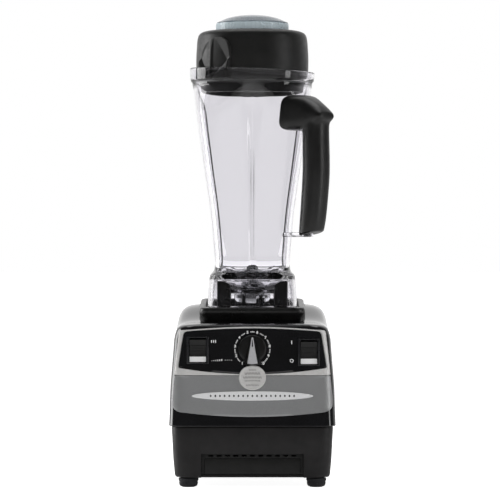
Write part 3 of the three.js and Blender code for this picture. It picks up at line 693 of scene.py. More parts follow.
# %% [markdown]
# ## The repeater
# Slots, dial marks, ribs and teeth are one small shape many times over. The second tree puts a copy
# of a stamp on every point that it is given, turned as the point says, and makes them real.

# %% The repeater tree
def repeater_tree():
    tree, start, node = new_tree("repeater", Stamp="Object", Finish="Material")
    turn = node("GeometryNodeInputNamedAttribute", {"Name": "turn"}, data_type="FLOAT_VECTOR").outputs[0]
    rotation = node("FunctionNodeEulerToRotation", {"Euler": turn}).outputs[0]
    stamp = node("GeometryNodeObjectInfo", {"Object": start.outputs["Stamp"]}).outputs["Geometry"]
    points = node("GeometryNodeMeshToPoints", {"Mesh": start.outputs["Geometry"]}).outputs[0]
    inputs = {"Points": points, "Instance": stamp, "Rotation": rotation}
    copies = node("GeometryNodeInstanceOnPoints", inputs).outputs[0]
    return end_tree(tree, copies, start.outputs["Finish"])


REPEATER = repeater_tree()


def repeated(stamp, places, material, turns=None):
    """A copy of the stamp at each place, turned about the axes by angles X, Y and Z."""
    thing = scratch_object(stamp)
    turns = np.zeros((len(places), 3)) if turns is None else np.array(turns, float)
    points = points_with(places, turn=turns)
    mesh = run_tree(REPEATER, points, Stamp=thing, Finish=material)
    bpy.data.objects.remove(thing)
    return mesh


print("repeater", len(REPEATER.nodes), "nodes")

# %% [markdown]
# ## The floor
# A plain pale sheet, wide enough that its edge never shows. It glows where it is looked at, and
# stays dim in reflections, so that it doesn't grey the undersides of black pieces.

# %% Floor
FLOOR_GLOW, FLOOR_MIRRORED = 0.95, 0.12  # how bright it is where it is looked at, and in a reflection
FLOOR_HALF, FLOOR_DROP = 30, 0.2 * MM
floor_finish = finish("floor_white", (0.9, 0.9, 0.9), 0.6, Emission_Color=(1, 1, 1, 1))
rays = add_node(floor_finish, "ShaderNodeLightPath").outputs
place = add_node(floor_finish, "ShaderNodeSeparateXYZ", {0: object_point(floor_finish)}).outputs["Y"]
behind = mapped(floor_finish, place, 0.15, 1, 0)
through = math_of(floor_finish, "MULTIPLY", behind, rays["Is Transmission Ray"])
seen = math_of(floor_finish, "MAXIMUM", through, rays["Is Camera Ray"])
glow = mapped(floor_finish, seen, 0, 1, FLOOR_MIRRORED, FLOOR_GLOW)
link_shader(floor_finish, "Emission Strength", glow)
vary(floor_finish, "Roughness", noise(floor_finish, 8), 0.5, 0.62)
square = [(sx * FLOOR_HALF, sy * FLOOR_HALF, 0) for sx, sy in ((-1, -1), (1, -1), (1, 1), (-1, 1))]
floor = scratch_object(mesh_of(square, [(0, 1, 2, 3)]))
floor.name = "floor"
floor.location.z = -FLOOR_DROP
floor.data.materials.append(floor_finish)

# %% [markdown]
# ## The upper housing
# This is one glossy injection moulding: slightly wider at the foot, with a front that leans back and
# a crown that falls towards the controls. No primitive comes near it. It is a loft: a plan with round
# corners is drawn at each level, and the levels are joined by a skin. Cubic curves through a few
# levels keep the shoulder free of kinks, which gloss would show at once.

# %% The skin of the upper housing
SEAM_Z, CROWN_Z, SHOULDER_Z = 66.7, 196.5, 160
BASE_FRONT, BASE_BACK = 108, 111
FACE_SLOPE, BACK_SLOPE = 0.122, 0.09
CROWN_DROP, CROWN_FALLS_FROM, CROWN_FALLS_OVER = 18, 30, 95
CORNER, CORNER_GROWTH = 15, 0.9  # the corner's radius, and how much of the inset is added to it
HOUSING_WALL = 5
UPPER_LEVELS = [  # z, half width, how far the shoulder has turned in
    (SEAM_Z, 90.4, 0), (84, 89.7, 0), (110, 88.9, 0), (143, 86.4, 0), (160, 85.2, 0), (172, 84, 0),
    (182, 82.2, 0.25), (188, 79.6, 1.1), (192, 75.8, 3.6), (195, 69, 10), (CROWN_Z, 58.9, 21),
]
LEVELS = flow(UPPER_LEVELS, 6)


def plan(half, front, back, radius, corner_steps=12, side_steps=22):
    """A rectangle with round corners, seen from above, that starts at its front right corner."""
    points = []
    radius = max(radius, 0.01)
    corners = (
        (half - radius, -front + radius, -0.5), (half - radius, back - radius, 0),
        (-half + radius, back - radius, 0.5), (-half + radius, -front + radius, 1),
    )
    for i, (x, y, start) in enumerate(corners):
        angles = math.pi * (start + np.linspace(0, 0.5, corner_steps + 1))
        arc = np.stack([x + radius * np.cos(angles), y + radius * np.sin(angles)], 1)
        points.append(arc)
        x2, y2, start2 = corners[(i + 1) % 4]
        turn = math.pi * start2
        first = np.array([x2 + radius * math.cos(turn), y2 + radius * math.sin(turn)])
        share = np.linspace(0, 1, side_steps + 1)[1:-1, None]
        points.append(arc[-1] + share * (first - arc[-1]))
    return np.vstack(points)


def crown_drop(y):
    """How much lower the crown is towards the front."""
    t = np.clip((CROWN_FALLS_FROM - np.asarray(y)) / CROWN_FALLS_OVER, 0, 1)
    return CROWN_DROP * (1 - np.cos(math.pi * t)) / 2


def squeeze(z, y):
    """The height of a level once the falling crown has pressed the shoulder down."""
    share = 1 - crown_drop(y) / (CROWN_Z - SHOULDER_Z)
    return np.where(z <= SHOULDER_Z, z, SHOULDER_Z + (z - SHOULDER_Z) * share)


def front_depth(z):
    return BASE_FRONT - (z - SEAM_Z) * FACE_SLOPE


def back_depth(z):
    return BASE_BACK - (z - SEAM_Z) * BACK_SLOPE


def housing_ring(z, half, inset):
    front = front_depth(float(squeeze(z, -BASE_FRONT))) - inset
    flat = plan(half, front, back_depth(z) - inset, CORNER + CORNER_GROWTH * inset)
    return np.column_stack([flat, squeeze(np.full(len(flat), z), flat[:, 1])])


def plan_loft(levels, radius, corner_steps=10, side_steps=8):
    """A loft through plans, each given as z, half width, front depth and back depth."""
    rings = []
    for z, half, front, back in levels:
        rings.append(at_height(plan(half, front, back, radius, corner_steps, side_steps), z))
    return skin_mm(rings)


rings = [housing_ring(*level) for level in LEVELS]
lower_lip = rings[0] * [0.995, 0.995, 1]
rings[0] = rings[0] + [0, 0, 0.6]
rings.insert(0, lower_lip)
top = rings[-1]
for share in (0.93, 0.8, 0.5, 0.02):
    rings.append(np.column_stack([top[:, :2] * share, top[:, 2] + 0.6 * (1 - share)]))
upper = skin_mm(rings)
print("upper housing skin", len(upper.polygons))

# %% Openings in the upper housing
FACE_Z = 149.7
TILT = math.atan(FACE_SLOPE)
FACE = (
    Matrix.Translation((0, -front_depth(FACE_Z) * MM, FACE_Z * MM))
    @ Matrix.Rotation(math.pi / 2 - TILT, 4, "X")
    @ Matrix.Scale(MM, 4)
)
SWITCHES = {"speed_range": (-59.1, -1.3), "power": (61.1, -3.6)}
BEZEL_HALF = (11.85, 14.6)
SWITCH_OPENING = (9.35, 13.4)
PAD_HALF = 58.2
PAD_SIDE = [  # z, half width: the pad's side, which the pocket in the housing follows
    (178, 51.9), (179.1, 52.2), (181.5, 53.4), (185, 56), (187.5, 57.7),
    (191.5, PAD_HALF), (215, PAD_HALF),
]
CAVITY = [(SEAM_Z - 5, 85.4), (110, 83.9), (168, 79.2)]  # z, half width


def block_mm(low, high):
    return moved(block(low, high), Matrix.Scale(MM, 4))


def prism(outline, low, high):
    """A straight body on an outline in X and Y, in whatever unit the outline has."""
    return skin([at_height(outline, z) for z in (low, high)])


def switch_holes():
    holes = []
    for x, up in SWITCHES.values():
        a, b = BEZEL_HALF[0] + AIR, BEZEL_HALF[1] + AIR
        holes.append(moved(block((x - a, up - b, -12), (x + a, up + b, 8)), FACE))
    return joined(*holes)


cavity_levels = []
for z, half in CAVITY:
    level = max(z, SEAM_Z)
    cavity_levels.append((z, half, front_depth(level) - HOUSING_WALL, back_depth(level) - HOUSING_WALL))
cavity = plan_loft(cavity_levels, 10, 6, 2)
pocket = plan_loft([(z, half + AIR, half + AIR, half + AIR) for z, half in PAD_SIDE], 12.4, 10, 2)
upper = cut(upper, cavity, pocket, rod(22, 160, 190), switch_holes())
settle("upper_housing_skin", bevelled(upper, 0.5 * MM, 2, 50), GLOSS_BLACK, "upper_housing", 38)

# %% [markdown]
# ## The panels on the front
# Three thin panels lie on the leaning front: a black control plate, the silver trim round it, and a
# grey metallic plate below. They wrap a little way round the corners, so each point of a panel is
# found by asking the housing's own surface where it is, and is then lifted off it by the thickness.

# %% Points on the front of the housing
FRONT_HEIGHTS = squeeze(LEVELS[:, 0], -BASE_FRONT)


def on_front(x, z):
    """The point of the housing's front skin at a given x and z, in mm."""
    inset = np.interp(z, FRONT_HEIGHTS, LEVELS[:, 2])
    half = np.interp(z, FRONT_HEIGHTS, LEVELS[:, 1])
    radius = CORNER + CORNER_GROWTH * inset
    over = np.clip(np.abs(x) - (half - radius), 0, radius * 0.999)
    y = -(front_depth(z) - inset - radius + np.sqrt(radius**2 - over**2))
    return np.stack([x, y, z], -1)


def lifted(flat, lift):
    """Points on the front, given as x and z, moved out along the surface's own normal."""
    x, z = np.asarray(flat, float).T
    step = 0.2
    sideways = on_front(x + step, z) - on_front(x - step, z)
    upwards = on_front(x, z + step) - on_front(x, z - step)
    normal = np.cross(sideways, upwards)
    normal /= np.linalg.norm(normal, axis=1)[:, None]
    return on_front(x, z) + normal * lift


def curve(start, control, end, steps=40):
    t = np.linspace(0, 1, steps, endpoint=False)[:, None]
    start, control, end = np.array(start, float), np.array(control, float), np.array(end, float)
    return (1 - t) ** 2 * start + 2 * t * (1 - t) * control + t**2 * end


def ring_outline(outline, middle, count=480):
    """The outline seen from a middle point at even angles."""
    outline = np.asarray(outline, float) - middle
    angles = np.arange(count) * 2 * math.pi / count
    rays = np.stack([np.cos(angles), np.sin(angles)], 1)
    best = np.full(count, 1e9)
    for start, side in zip(outline, np.roll(outline, -1, 0) - outline):
        cross = rays[:, 0] * side[1] - rays[:, 1] * side[0]
        with np.errstate(divide="ignore", invalid="ignore"):
            reach = (start[0] * side[1] - start[1] * side[0]) / cross
            along = (start[0] * rays[:, 1] - start[1] * rays[:, 0]) / cross
        fits = (np.abs(cross) > 1e-9) & (reach > 0) & (along >= -1e-6) & (along <= 1 + 1e-6)
        best = np.where(fits & (reach < best), reach, best)
    return rays * best[:, None] + middle


def panel(outline, middle, low, high, edge=0.5, hole=None):
    """A thin panel between two lifts off the skin, with rounded edges and perhaps a hole."""
    middle = np.array(middle)
    outline = ring_outline(outline, middle)
    inward = middle - outline
    inward /= np.linalg.norm(inward, axis=1)[:, None]
    steps = [(0, low), (0, high - edge), (edge * 0.3, high - edge * 0.3), (edge, high)]
    rings = [lifted(outline + inward * back, lift) for back, lift in steps]
    start = outline + inward * edge
    if hole is not None:
        hole = ring_outline(hole, middle)
        end = hole - inward * edge
        rings += [lifted(start + (end - start) * share, high) for share in (0.33, 0.66)]
        rings += [lifted(hole - inward * back, lift) for back, lift in steps[::-1]]
        return skin_mm(rings, closed=True)
    for share in (0.9, 0.75, 0.6, 0.45, 0.3, 0.15, 0.01):
        rings.append(lifted(middle + (start - middle) * share, high))
    for share in (0.01, 0.3, 0.6, 0.9):
        rings.append(lifted(middle + (outline - middle) * share, low))
    return skin_mm(rings, closed=True)


# %% Outlines of the three panels
CONTROL_TOP, BAND_Z = 168.3, 121.6


def with_mirror(side):
    """The curves of the right side, and the same ones for the left side in the opposite order."""
    right, left = [], []
    for start, control, end, steps in side:
        right.append(curve(start, control, end, steps))
        left.append(curve(*[(-x, z) for x, z in (end, control, start)], steps))
    return right, left[::-1]


def control_outline(grow):
    top, low = CONTROL_TOP + grow, 129.8 - grow
    upper_end, upper_side = (69.6 + grow, top + 0.35), (74.2 + grow, top - 3.5)
    lower_side, lower_end = (79.4 + grow, low + 1.6), (77.6 + grow, low - 0.3)
    right, left = with_mirror([
        (upper_end, (73.6 + grow, top), upper_side, 10),
        (upper_side, (77 + grow, 149), lower_side, 10),
        (lower_side, (79.5 + grow, low), lower_end, 6),
    ])
    over = curve((-upper_end[0], upper_end[1]), (0, 174.7 + grow), upper_end)
    under = curve(lower_end, (0, 116.8 - grow), (-lower_end[0], lower_end[1]))
    return np.vstack([over, *right, under, *left])[::-1]


def trim_outline():
    upper_end, upper_side, foot = (76, 169.8), (78.7, 167), (83.6, BAND_Z)
    right, left = with_mirror([
        (upper_end, (78.3, 169.6), upper_side, 8),
        (upper_side, (81.5, 144), foot, 10),
    ])
    over = curve((-76, 169.8), (0, 177), upper_end)
    under = curve(foot, (0, BAND_Z), (-83.6, BAND_Z))
    return np.vstack([over, *right, under, *left])[::-1]


def plate_outline():
    head = (83.6, BAND_Z - AIR)
    right, left = with_mirror([
        (head, (85.4, 107), (86.2, 94), 10),
        ((86.2, 94), (87, 84), (78, 82), 16),
    ])
    under = curve((78, 82), (0, 71.8), (-78, 82))
    return np.vstack([[head], *right, under, *left, [(-head[0], head[1])]])[::-1]


MIDDLE = (0, 147)
control = cut(panel(control_outline(0), MIDDLE, 0.1, 1.5, 0.4), switch_holes())
settle("control_plate_panel", control, GLOSS_BLACK, "control_plate", 40)
border = panel(trim_outline(), MIDDLE, 0.1, 2, 0.6, control_outline(AIR))
settle("silver_trim", border, SILVER, "silver_border", 40)
settle("grey_plate", panel(plate_outline(), (0, 100), 0.1, 1.5, 0.6), FACE_GREY, "face_plate", 40)

# %% [markdown]
# ## The controls
# They are drawn in the plane of the front face: X to the right, Y up the face, Z out of it. Each
# shape is made flat at first, and the matrix FACE then puts it where it belongs.

# %% Helpers for shapes drawn on the face
def on_face(mesh, x=0.0, up=0.0):
    return moved(mesh, FACE @ Matrix.Translation((x, up, 0)))


def body_stack(rows, material, columns=96):
    """A turned body in the face's own millimetres."""
    return moved(turned(rows, material, columns), Matrix.Scale(1 / MM, 4))


# %% Bezels and rockers
ROCKER_HALF, ROCKER_PIVOT, ROCKER_TILT = 12.2, -3, math.radians(8)
RIDGES_AT, RIDGES_HALF, RIDGE_PITCH = 2, 4.3, 3.4
PIVOT = (
    Matrix.Translation((0, 0, ROCKER_PIVOT))
    @ Matrix.Rotation(ROCKER_TILT, 4, "X")
    @ Matrix.Translation((0, 0, -ROCKER_PIVOT))
)


def rocker_side():
    """The rocker's top line from its lower to its upper end: a shallow dish with a few ridges."""
    y = np.linspace(-ROCKER_HALF, ROCKER_HALF, 61)
    dish = 1.8 + 1.4 * (np.abs(y) / ROCKER_HALF) ** 1.8
    from_ridges = y - RIDGES_AT
    ridges = np.cos(2 * math.pi * from_ridges / RIDGE_PITCH) ** 2 * (np.abs(from_ridges) < RIDGES_HALF)
    return np.column_stack([y, dish + 0.35 * ridges])


def strip(line, floor_line, half):
    """A body as wide as 2 half between an upper line and a lower line, both given as Y and Z."""
    loop = np.vstack([line, floor_line[::-1]])
    return skin([np.column_stack([np.full(len(loop), x), loop]) for x in (-half, half)])


def centred(half_x, half_y, low, high):
    """A block round the Z axis."""
    return block((-half_x, -half_y, low), (half_x, half_y, high))


bezel_shape = bevelled(cut(centred(*BEZEL_HALF, -6, 3.2), centred(*SWITCH_OPENING, -8, 6)), 0.55, 3)
base_line = np.array([(-ROCKER_HALF, -1), (-8, -4.6), (8, -4.6), (ROCKER_HALF, -1)])
rocker_shape = bevelled(strip(rocker_side(), base_line, 8.9), 0.5, 3, 40)
low_end = rocker_side()[1:16]
bar_shape = bevelled(strip(low_end + [0, 0.16], low_end - [0, 0.3], 8.82), 0.12, 2)
for switch, (x, up) in SWITCHES.items():
    settle(switch + "_frame", on_face(bezel_shape.copy(), x, up), DARK_NYLON, switch + "_bezel")
    place = FACE @ Matrix.Translation((x, up, 0)) @ PIVOT
    settle(switch + "_paddle", moved(rocker_shape.copy(), place), RUBBER, switch + "_rocker")
    bar = moved(bar_shape.copy(), place)
    decoration(switch + "_white_bar", bar, WHITE_PRINT, switch + "_rocker")

# %% [markdown]
# ## The speed dial
# A low round skirt carries a tapered grip with a silver pointer on top. The skirt is turned. The grip
# is a loft that narrows as it rises, with a shallow notch along its top in which the pointer lies.

# %% The dial
KNOB_TOP = 9.6


def taper(low_half, high_half, low_y, high_y, shrink, z, steps=14):
    """One level of the grip: a long tapered outline with round ends."""
    low, high = low_half * shrink, high_half * shrink
    a = np.linspace(-math.pi / 2 - 0.1, math.pi / 2 + 0.1, steps)
    top = np.stack([np.sin(a) * high, high_y - high + np.cos(a) * high], 1)
    b = np.linspace(-1, 1, steps)
    bottom = np.stack([-b * low, low_y + 0.9 * b**2 * (1 - 0.4 * b**2)], 1)
    return at_height(np.vstack([top, bottom]), z)


def taper_loft(size, levels, steps=14):
    """A loft through tapers of one size, each level given as z and how much it shrinks."""
    return skin([taper(*size, shrink, z, steps) for z, shrink in levels])


grip_levels = [
    (5.6, 1.3), (6.4, 1.18), (7.2, 1.06), (8.2, 0.97), (8.9, 0.92), (9.3, 0.91), (KNOB_TOP, 0.87)
]
grip = taper_loft((8.2, 1.9, -17.5, 12.9), grip_levels)
skirt_profile = [
    (0, 2.3, 0), (14.6, 2.3, 0.5), (15, 3, 0.5), (15, 4.8, 1), (13.8, 6.3, 1.2), (9, 6.5, 1), (0, 6.5, 0)
]
knob = cut(body_stack(skirt_profile, GRIP_BLACK, 128), grip, operation="UNION")
notch = taper_loft((7.2, 1.3, -16.8, 11.9), [(KNOB_TOP - 0.5, 0.8), (KNOB_TOP + 1, 0.8)])
settle("dial_grip", on_face(cut(knob, notch)), GRIP_BLACK, "speed_knob", 35)

pointer_levels = [(KNOB_TOP - 0.3, 0.74), (KNOB_TOP + 0.9, 0.74), (KNOB_TOP + 1.3, 0.66)]
pointer = taper_loft((7.6, 1.25, -16.9, 12), pointer_levels)
groove = taper_loft((0.85, 0.3, 1.5, 9.6), [(KNOB_TOP - 0.45, 1), (KNOB_TOP + 2, 1)], 8)
settle("dial_pointer", on_face(cut(pointer, groove)), POINTER_SILVER, "knob_pointer", 35)

# %% [markdown]
# ## The printed scale
# Ten numbers stand round the dial, with three dots between neighbours. The dots are one small block,
# put round the dial by the repeater. The numbers are text turned into a mesh. They are the only
# lettering: the marks at the switches are bars, dots and a ring.

# %% Scale marks and numbers
SCALE_RADIUS = 18.9
PRINT_LIFT, PRINT_HALF = 1.5, 0.1  # the prints' height above the face, and half their thickness
SCALE_HALF_TURN = math.radians(144.5)
NUMBER_COUNT, NUMBER_SIZE = 10, 4.2
MARK_STEP = 0.155  # between neighbouring dots, as a share of the way from one number to the next


def scale_place(steps):
    """The place and turn of a mark, so many numbers round from the lowest speed."""
    a = math.pi / 2 + SCALE_HALF_TURN * (1 - 2 * steps / (NUMBER_COUNT - 1))
    return (SCALE_RADIUS * math.cos(a), SCALE_RADIUS * math.sin(a), PRINT_LIFT), (0, 0, a)


def number_at(text, place):
    """Text as a mesh, centred on a place."""
    data = bpy.data.curves.new("digits", "FONT")
    data.body, data.size, data.align_x, data.align_y = text, NUMBER_SIZE, "CENTER", "CENTER"
    data.extrude, data.offset = 0.08, 0.2
    data.resolution_u = 4
    thing = bpy.data.objects.new("digits", data)
    bpy.context.scene.collection.objects.link(thing)
    mesh = baked(thing)
    mesh.materials.clear()
    return moved(tidy_normals(mesh, 1e-5), Matrix.Translation(place))


def print_at(x, up):
    return Matrix.Translation((x, up, PRINT_LIFT))


gaps = range(NUMBER_COUNT - 1)
marks = [scale_place(i + 0.5 + step * MARK_STEP) for i in gaps for step in (-1, 0, 1)]
dot = centred(0.55, 0.55, -PRINT_HALF, PRINT_HALF)
prints = [repeated(dot, [place for place, _ in marks], WHITE_PRINT, [turn for _, turn in marks])]
prints += [number_at(str(i + 1), scale_place(i)[0]) for i in range(NUMBER_COUNT)]

# %% Marks at the switches
for x, up, height in ((42.5, 7.4, 1.9), (-44.2, 8.4, 1.5), (-42, 8.4, 1.5), (-39.8, 8.4, 1.5)):
    prints.append(moved(centred(0.5, height, -PRINT_HALF, PRINT_HALF), print_at(x, up)))
for i in range(6):  # rising bars: a speed that can be varied
    bar = block((-0.5, -0.7, -PRINT_HALF), (0.5, -0.2 + 0.34 * i, PRINT_HALF))
    prints.append(moved(bar, print_at(-44.2 + 2.2 * i, -12.2)))
dots = [(-29.4 + 2.3 * i, -11.9, PRINT_LIFT) for i in range(4)]
prints.append(repeated(centred(0.4, 0.35, -PRINT_HALF, PRINT_HALF), dots, WHITE_PRINT))
turns = np.linspace(0, 2 * math.pi, 40)
circle = ring_outline(np.stack([2 * np.cos(turns), 2 * np.sin(turns)], 1), np.zeros(2), 40)
ring_levels = ((1, -PRINT_HALF), (1, PRINT_HALF), (0.62, PRINT_HALF), (0.62, -PRINT_HALF))
off_ring = skin([at_height(circle * size, z) for size, z in ring_levels], True)
prints.append(moved(off_ring, print_at(42.5, -12.6)))
decoration("printed_scale", on_face(joined(*prints)), WHITE_PRINT, "control_plate")

# %% [markdown]
# ## The medallion and the oval plate
# The round medallion is turned, with a rolled edge and five rows of fine engraved strokes. The oval
# plate is a dome over an ellipse, with a row of small dark lozenges along it.

# %% Medallion and oval plate
MEDAL_UP = (118.9 - FACE_Z) / math.cos(TILT)
MEDAL_PROFILE = [
    (0, 2.4, 0), (14.6, 2.4, 0.2), (14.8, 3, 0.3), (14.6, 4, 0.5), (13.4, 4.5, 0.5), (12.9, 4, 0.3),
    (12.6, 3.9, 0.3), (0, 4.1, 2),
]
STROKE_ROWS = [  # up, strokes to each side of the middle one, half height
    (8.4, 2, 0.7), (4.6, 5, 1.25), (0.4, 6, 1.15), (-3.2, 5, 0.8), (-8, 4, 0.75)
]
STROKE_STEP, STROKE_LEAN = 1.55, 0.35
medal = moved(body_stack(MEDAL_PROFILE, SILVER, 144), Matrix.Diagonal((1, 0.92, 1, 1)))
settle("round_medallion", on_face(medal, 0, MEDAL_UP), SILVER, "medallion", 35)
strokes = []
for up, each_side, tall in STROKE_ROWS:
    spots = [(STROKE_STEP * i, up - 0.05 * abs(i), 4.1) for i in range(-each_side, each_side + 1)]
    leans = [(0, 0, STROKE_LEAN * (-1) ** i) for i in range(len(spots))]
    strokes.append(repeated(centred(0.36, tall, -0.25, 0.1), spots, ENGRAVED, leans))
decoration("medallion_strokes", on_face(joined(*strokes), 0, MEDAL_UP), ENGRAVED, "medallion")

OVAL_UP = (99.3 - FACE_Z) / math.cos(TILT)


def oval(share, z):
    a = np.linspace(0, 2 * math.pi, 160, endpoint=False)
    return at_height(np.stack([65.5 * np.cos(a) * share, 5.1 * np.sin(a) * share**1.5], 1), z)


oval_levels = [  # share of the full size, height
    (0.02, 1.4), (1, 1.4), (1, 2.7), (0.985, 3.05), (0.96, 3.15), (0.955, 3.02), (0.935, 3.02),
    (0.93, 3.18), (0.6, 3.26), (0.3, 3.28), (0.02, 3.28),
]
oval_mesh = skin([oval(*level) for level in oval_levels])
settle("oval_badge", on_face(oval_mesh, 0, OVAL_UP), OVAL_SILVER, "oval_plate", 35)
lozenge = prism([(1.15, 0), (0, 1.5), (-1.15, 0), (0, -1.5)], -0.25, 0.12)
spots = [(-45 + 5 * i, 0, 3.22) for i in range(19)]
lozenges = repeated(lozenge, spots, MATTE_BLACK)
decoration("oval_lozenges", on_face(lozenges, 0, OVAL_UP), MATTE_BLACK, "oval_plate")

# %% [markdown]
# ## The lower housing
# A matte, grained moulding that carries the upper one. It is hollow, with a deep intake recess in
# front and a row of vents behind. The vents are rounded slots, cut by repeated stamps.

# %% Lower housing
BASE_BOTTOM, SEAM_TOP = 10.6, SEAM_Z - AIR
INTAKE_HALF, INTAKE_TOP = 55.4, 36.7
TO_GLAND = Matrix.Translation((46 * MM, 0, 24 * MM)) @ Matrix.Rotation(-math.pi / 2, 4, "X")
LOWER_LEVELS = [  # z, half width, front depth, back depth
    (BASE_BOTTOM, 81.6, 98, 101), (10.9, 82.6, 99, 102), (11.8, 83.6, 100, 103),
    (13.6, 84.4, 100.8, 103.8), (30, 85.9, 102.2, 105.2), (48, 86.8, 103.4, 106.4),
    (64.5, 87.6, 104.5, 107.5), (65.6, 87.4, 104.3, 107.3), (SEAM_TOP, 86.6, 103.5, 106.5),
]


def slot_stamp(half_width, low, high, depth):
    """An upright rounded slot, as long in Y as depth."""
    a = np.linspace(0, math.pi, 9)
    arc = np.stack([half_width * np.cos(a), half_width * np.sin(a)], 1)
    outline = np.vstack([arc + [0, high - half_width], -arc + [0, low + half_width]])
    x, z = outline.T
    return skin_mm([np.column_stack([x, np.full(len(x), y), z]) for y in (-depth, depth)])


lower = plan_loft(LOWER_LEVELS, 15)
inner = plan_loft([(5, 81.4, 97.8, 100.8), (70, 83.8, 100.8, 103.8)], 11)
intake = block_mm((-INTAKE_HALF, -120, 0), (INTAKE_HALF, -95, INTAKE_TOP))
vent_places = [(10 * i * MM, 108 * MM, 47 * MM) for i in range(-4, 5)]
vents = repeated(slot_stamp(3, -9, 9, 12), vent_places, MATTE_BLACK)
cord_hole = moved(rod(7.4, 90, 120, 32), TO_GLAND)
lower = cut(lower, inner, intake, vents, cord_hole)
settle("lower_housing_shell", bevelled(lower, 0.7 * MM, 2, 50), MATTE_BLACK, "lower_housing", 38)

# %% The intake's inner panel, with its row of slots
grille = bevelled(block_mm((-60, -97.4, 14.2), (60, -95, 44)), 0.4 * MM, 2)
ledge = bevelled(block_mm((-52, -98.3, 14.2), (52, -97, 31.5)), 0.8 * MM, 3)
slot_places = [(9 * i * MM, -97 * MM, 34.4 * MM) for i in range(-5, 6)]
slots = repeated(block_mm((-2.7, -8, -1), (2.7, 8, 1)), slot_places, MATTE_BLACK)
settle("intake_panel", cut(cut(grille, ledge, operation="UNION"), slots), RUBBER, "intake_grille")


def fine_copy(node, width, segments=2):
    """A copy of a CAD node's own mesh, merged, with its hard edges bevelled."""
    mesh = tidy_normals(frame["nodes"][node].data.copy())
    with reshaped(mesh) as shape:
        bmesh.ops.dissolve_limit(
            shape, angle_limit=math.radians(1), verts=shape.verts, edges=shape.edges
        )
    return bevelled(mesh, width, segments, 40)


settle("bottom_cover", fine_copy("bottom_plate", 0.4 * MM), MATTE_BLACK, "bottom_plate")

# %% [markdown]
# ## Feet and cord gland
# Turned rubber feet with a softened lower edge and a shallow waist, made once and repeated.

# %% Feet and gland
FOOT_X, FOOT_Y, GLAND_Y = 69.4 * MM, 85 * MM, 97.4 * MM
FOOT_PROFILE = [
    (0, 0, 0), (6.8, 0, 0.4), (7.2, 0.7, 0.4), (8.6, 0.7, 0.8), (10, 2.4, 1.4), (10.3, 5, 1),
    (10.1, 5.6, 0.4), (10.1, 6.6, 0.4), (10.85, 7.2, 0.5), (10.85, 9.9, 0.5), (0, 9.9, 0),
]
GLAND_PROFILE = [
    (0, 0, 0), (7, 0, 0.3), (7, 5, 0.4), (9.6, 5.2, 0.6), (9.6, 8, 1), (6.2, 9.5, 0.6), (5.6, 13, 0.6),
    (3.9, 13, 0.3), (3.6, 12.6, 0.2), (3.6, 2, 0.3), (0, 2, 0),
]
FEET = ["foot_front_left", "foot_front_right", "foot_rear_left", "foot_rear_right"]
corners = [(sx * FOOT_X, sy * FOOT_Y, 0) for sy in (-1, 1) for sx in (-1, 1)]
feet = repeated(turned(FOOT_PROFILE, FOOT_RUBBER, 64), corners, FOOT_RUBBER)
settle("rubber_feet", feet, FOOT_RUBBER, FEET)
gland = moved(turned(GLAND_PROFILE, RUBBER, 48), Matrix.Translation((0, GLAND_Y, 0)) @ TO_GLAND)
settle("cord_gland_ring", gland, RUBBER, "cord_gland")

# %% [markdown]
# ## The centering pad
# A soft rubber square, narrower at its foot, with a raised rim that falls towards the front, and four
# posts that reach up into the corners of the jar's skirt. Rings of a rounded square make the pad.
# The posts' tops are cut by the jar's own underside, a little lowered, so they never touch the jar.

# %% The pad
PAD_SEAT, JAR_FOOT, JAR_FLOOR = 194.2, 194.6, 215
PAD_RIM, PAD_CORNER = 198.2, 12  # the rim's mean height, and the corners' radius
RIM_SLOPE = 9.4 / (2 * PAD_HALF)
RIM_PROFILE = [  # half width, and how far below the rim's top
    (58.2, 3.6), (57.9, 2), (57.2, 0.8), (56, 0.15), (54, 0), (52.4, 0.2), (51.5, 0.9), (51.1, 2)
]


def pad_ring(half, radius, height, slope=0.0):
    flat = plan(half, half, half, radius, 14, 10)
    return np.column_stack([flat, height + slope * flat[:, 1]])


foot_rings = ((1, 0.3, 178.35), (51.4, 11.2, 178.35), (52.2, 11.9, 179.1))
side_rings = ((53.4, PAD_CORNER, 181.5), (56, PAD_CORNER, 185), (57.7, PAD_CORNER, 187.5))
seat_rings = ((50.4, PAD_CORNER), (44, 10), (24, 8), (1, 0.3))
pad_rings = [pad_ring(*ring) for ring in foot_rings + side_rings]
for half, down in RIM_PROFILE:
    edge = pad_ring(half, max(PAD_CORNER - (PAD_HALF - half), 9), PAD_RIM - down, RIM_SLOPE)
    edge[:, 2] = np.maximum(edge[:, 2], 189.5 if half > 56 else PAD_SEAT - 0.3)
    pad_rings.append(edge)
pad_rings += [pad_ring(half, radius, PAD_SEAT) for half, radius in seat_rings]
pad = cut(skin_mm(pad_rings), rod(23, 170, 240, 64))

WELL = [  # rows for the ring stack
    (0, 209, 2, 0, 1, 0), (24, 209, 2.5, 0, 1, 0), (30.5, 211.4, 3, 0, 1, 0), (43.5, 225, 4, 0, 1, 0)
]
POST_AT = 31.6 * MM


def under_jar(drop):
    """The space under the jar's floor, lowered by drop."""
    rows = [(half, z - drop, *rest) for half, z, *rest in WELL]
    return ring_stack([*rows, (43.5, 246, 4, 0, 1, 0), (0, 246, 4, 0, 1, 0)], PAD_RUBBER)


post_levels = [(PAD_SEAT - 2, 7.9), (PAD_SEAT + 1, 7.5), (PAD_SEAT + 6, 7.4), (223, 7.2)]
post = plan_loft([(z, half, half, half) for z, half in post_levels], 4, 8, 6)
places = [(sx * POST_AT, sy * POST_AT, 0) for sx in (-1, 1) for sy in (-1, 1)]
posts = cut(repeated(post, places, PAD_RUBBER), under_jar(1.5))
pad = cut(pad, posts, operation="UNION")
settle("centering_pad_rubber", bevelled(pad, 0.6 * MM, 3, 48), PAD_RUBBER, "centering_pad", 40)

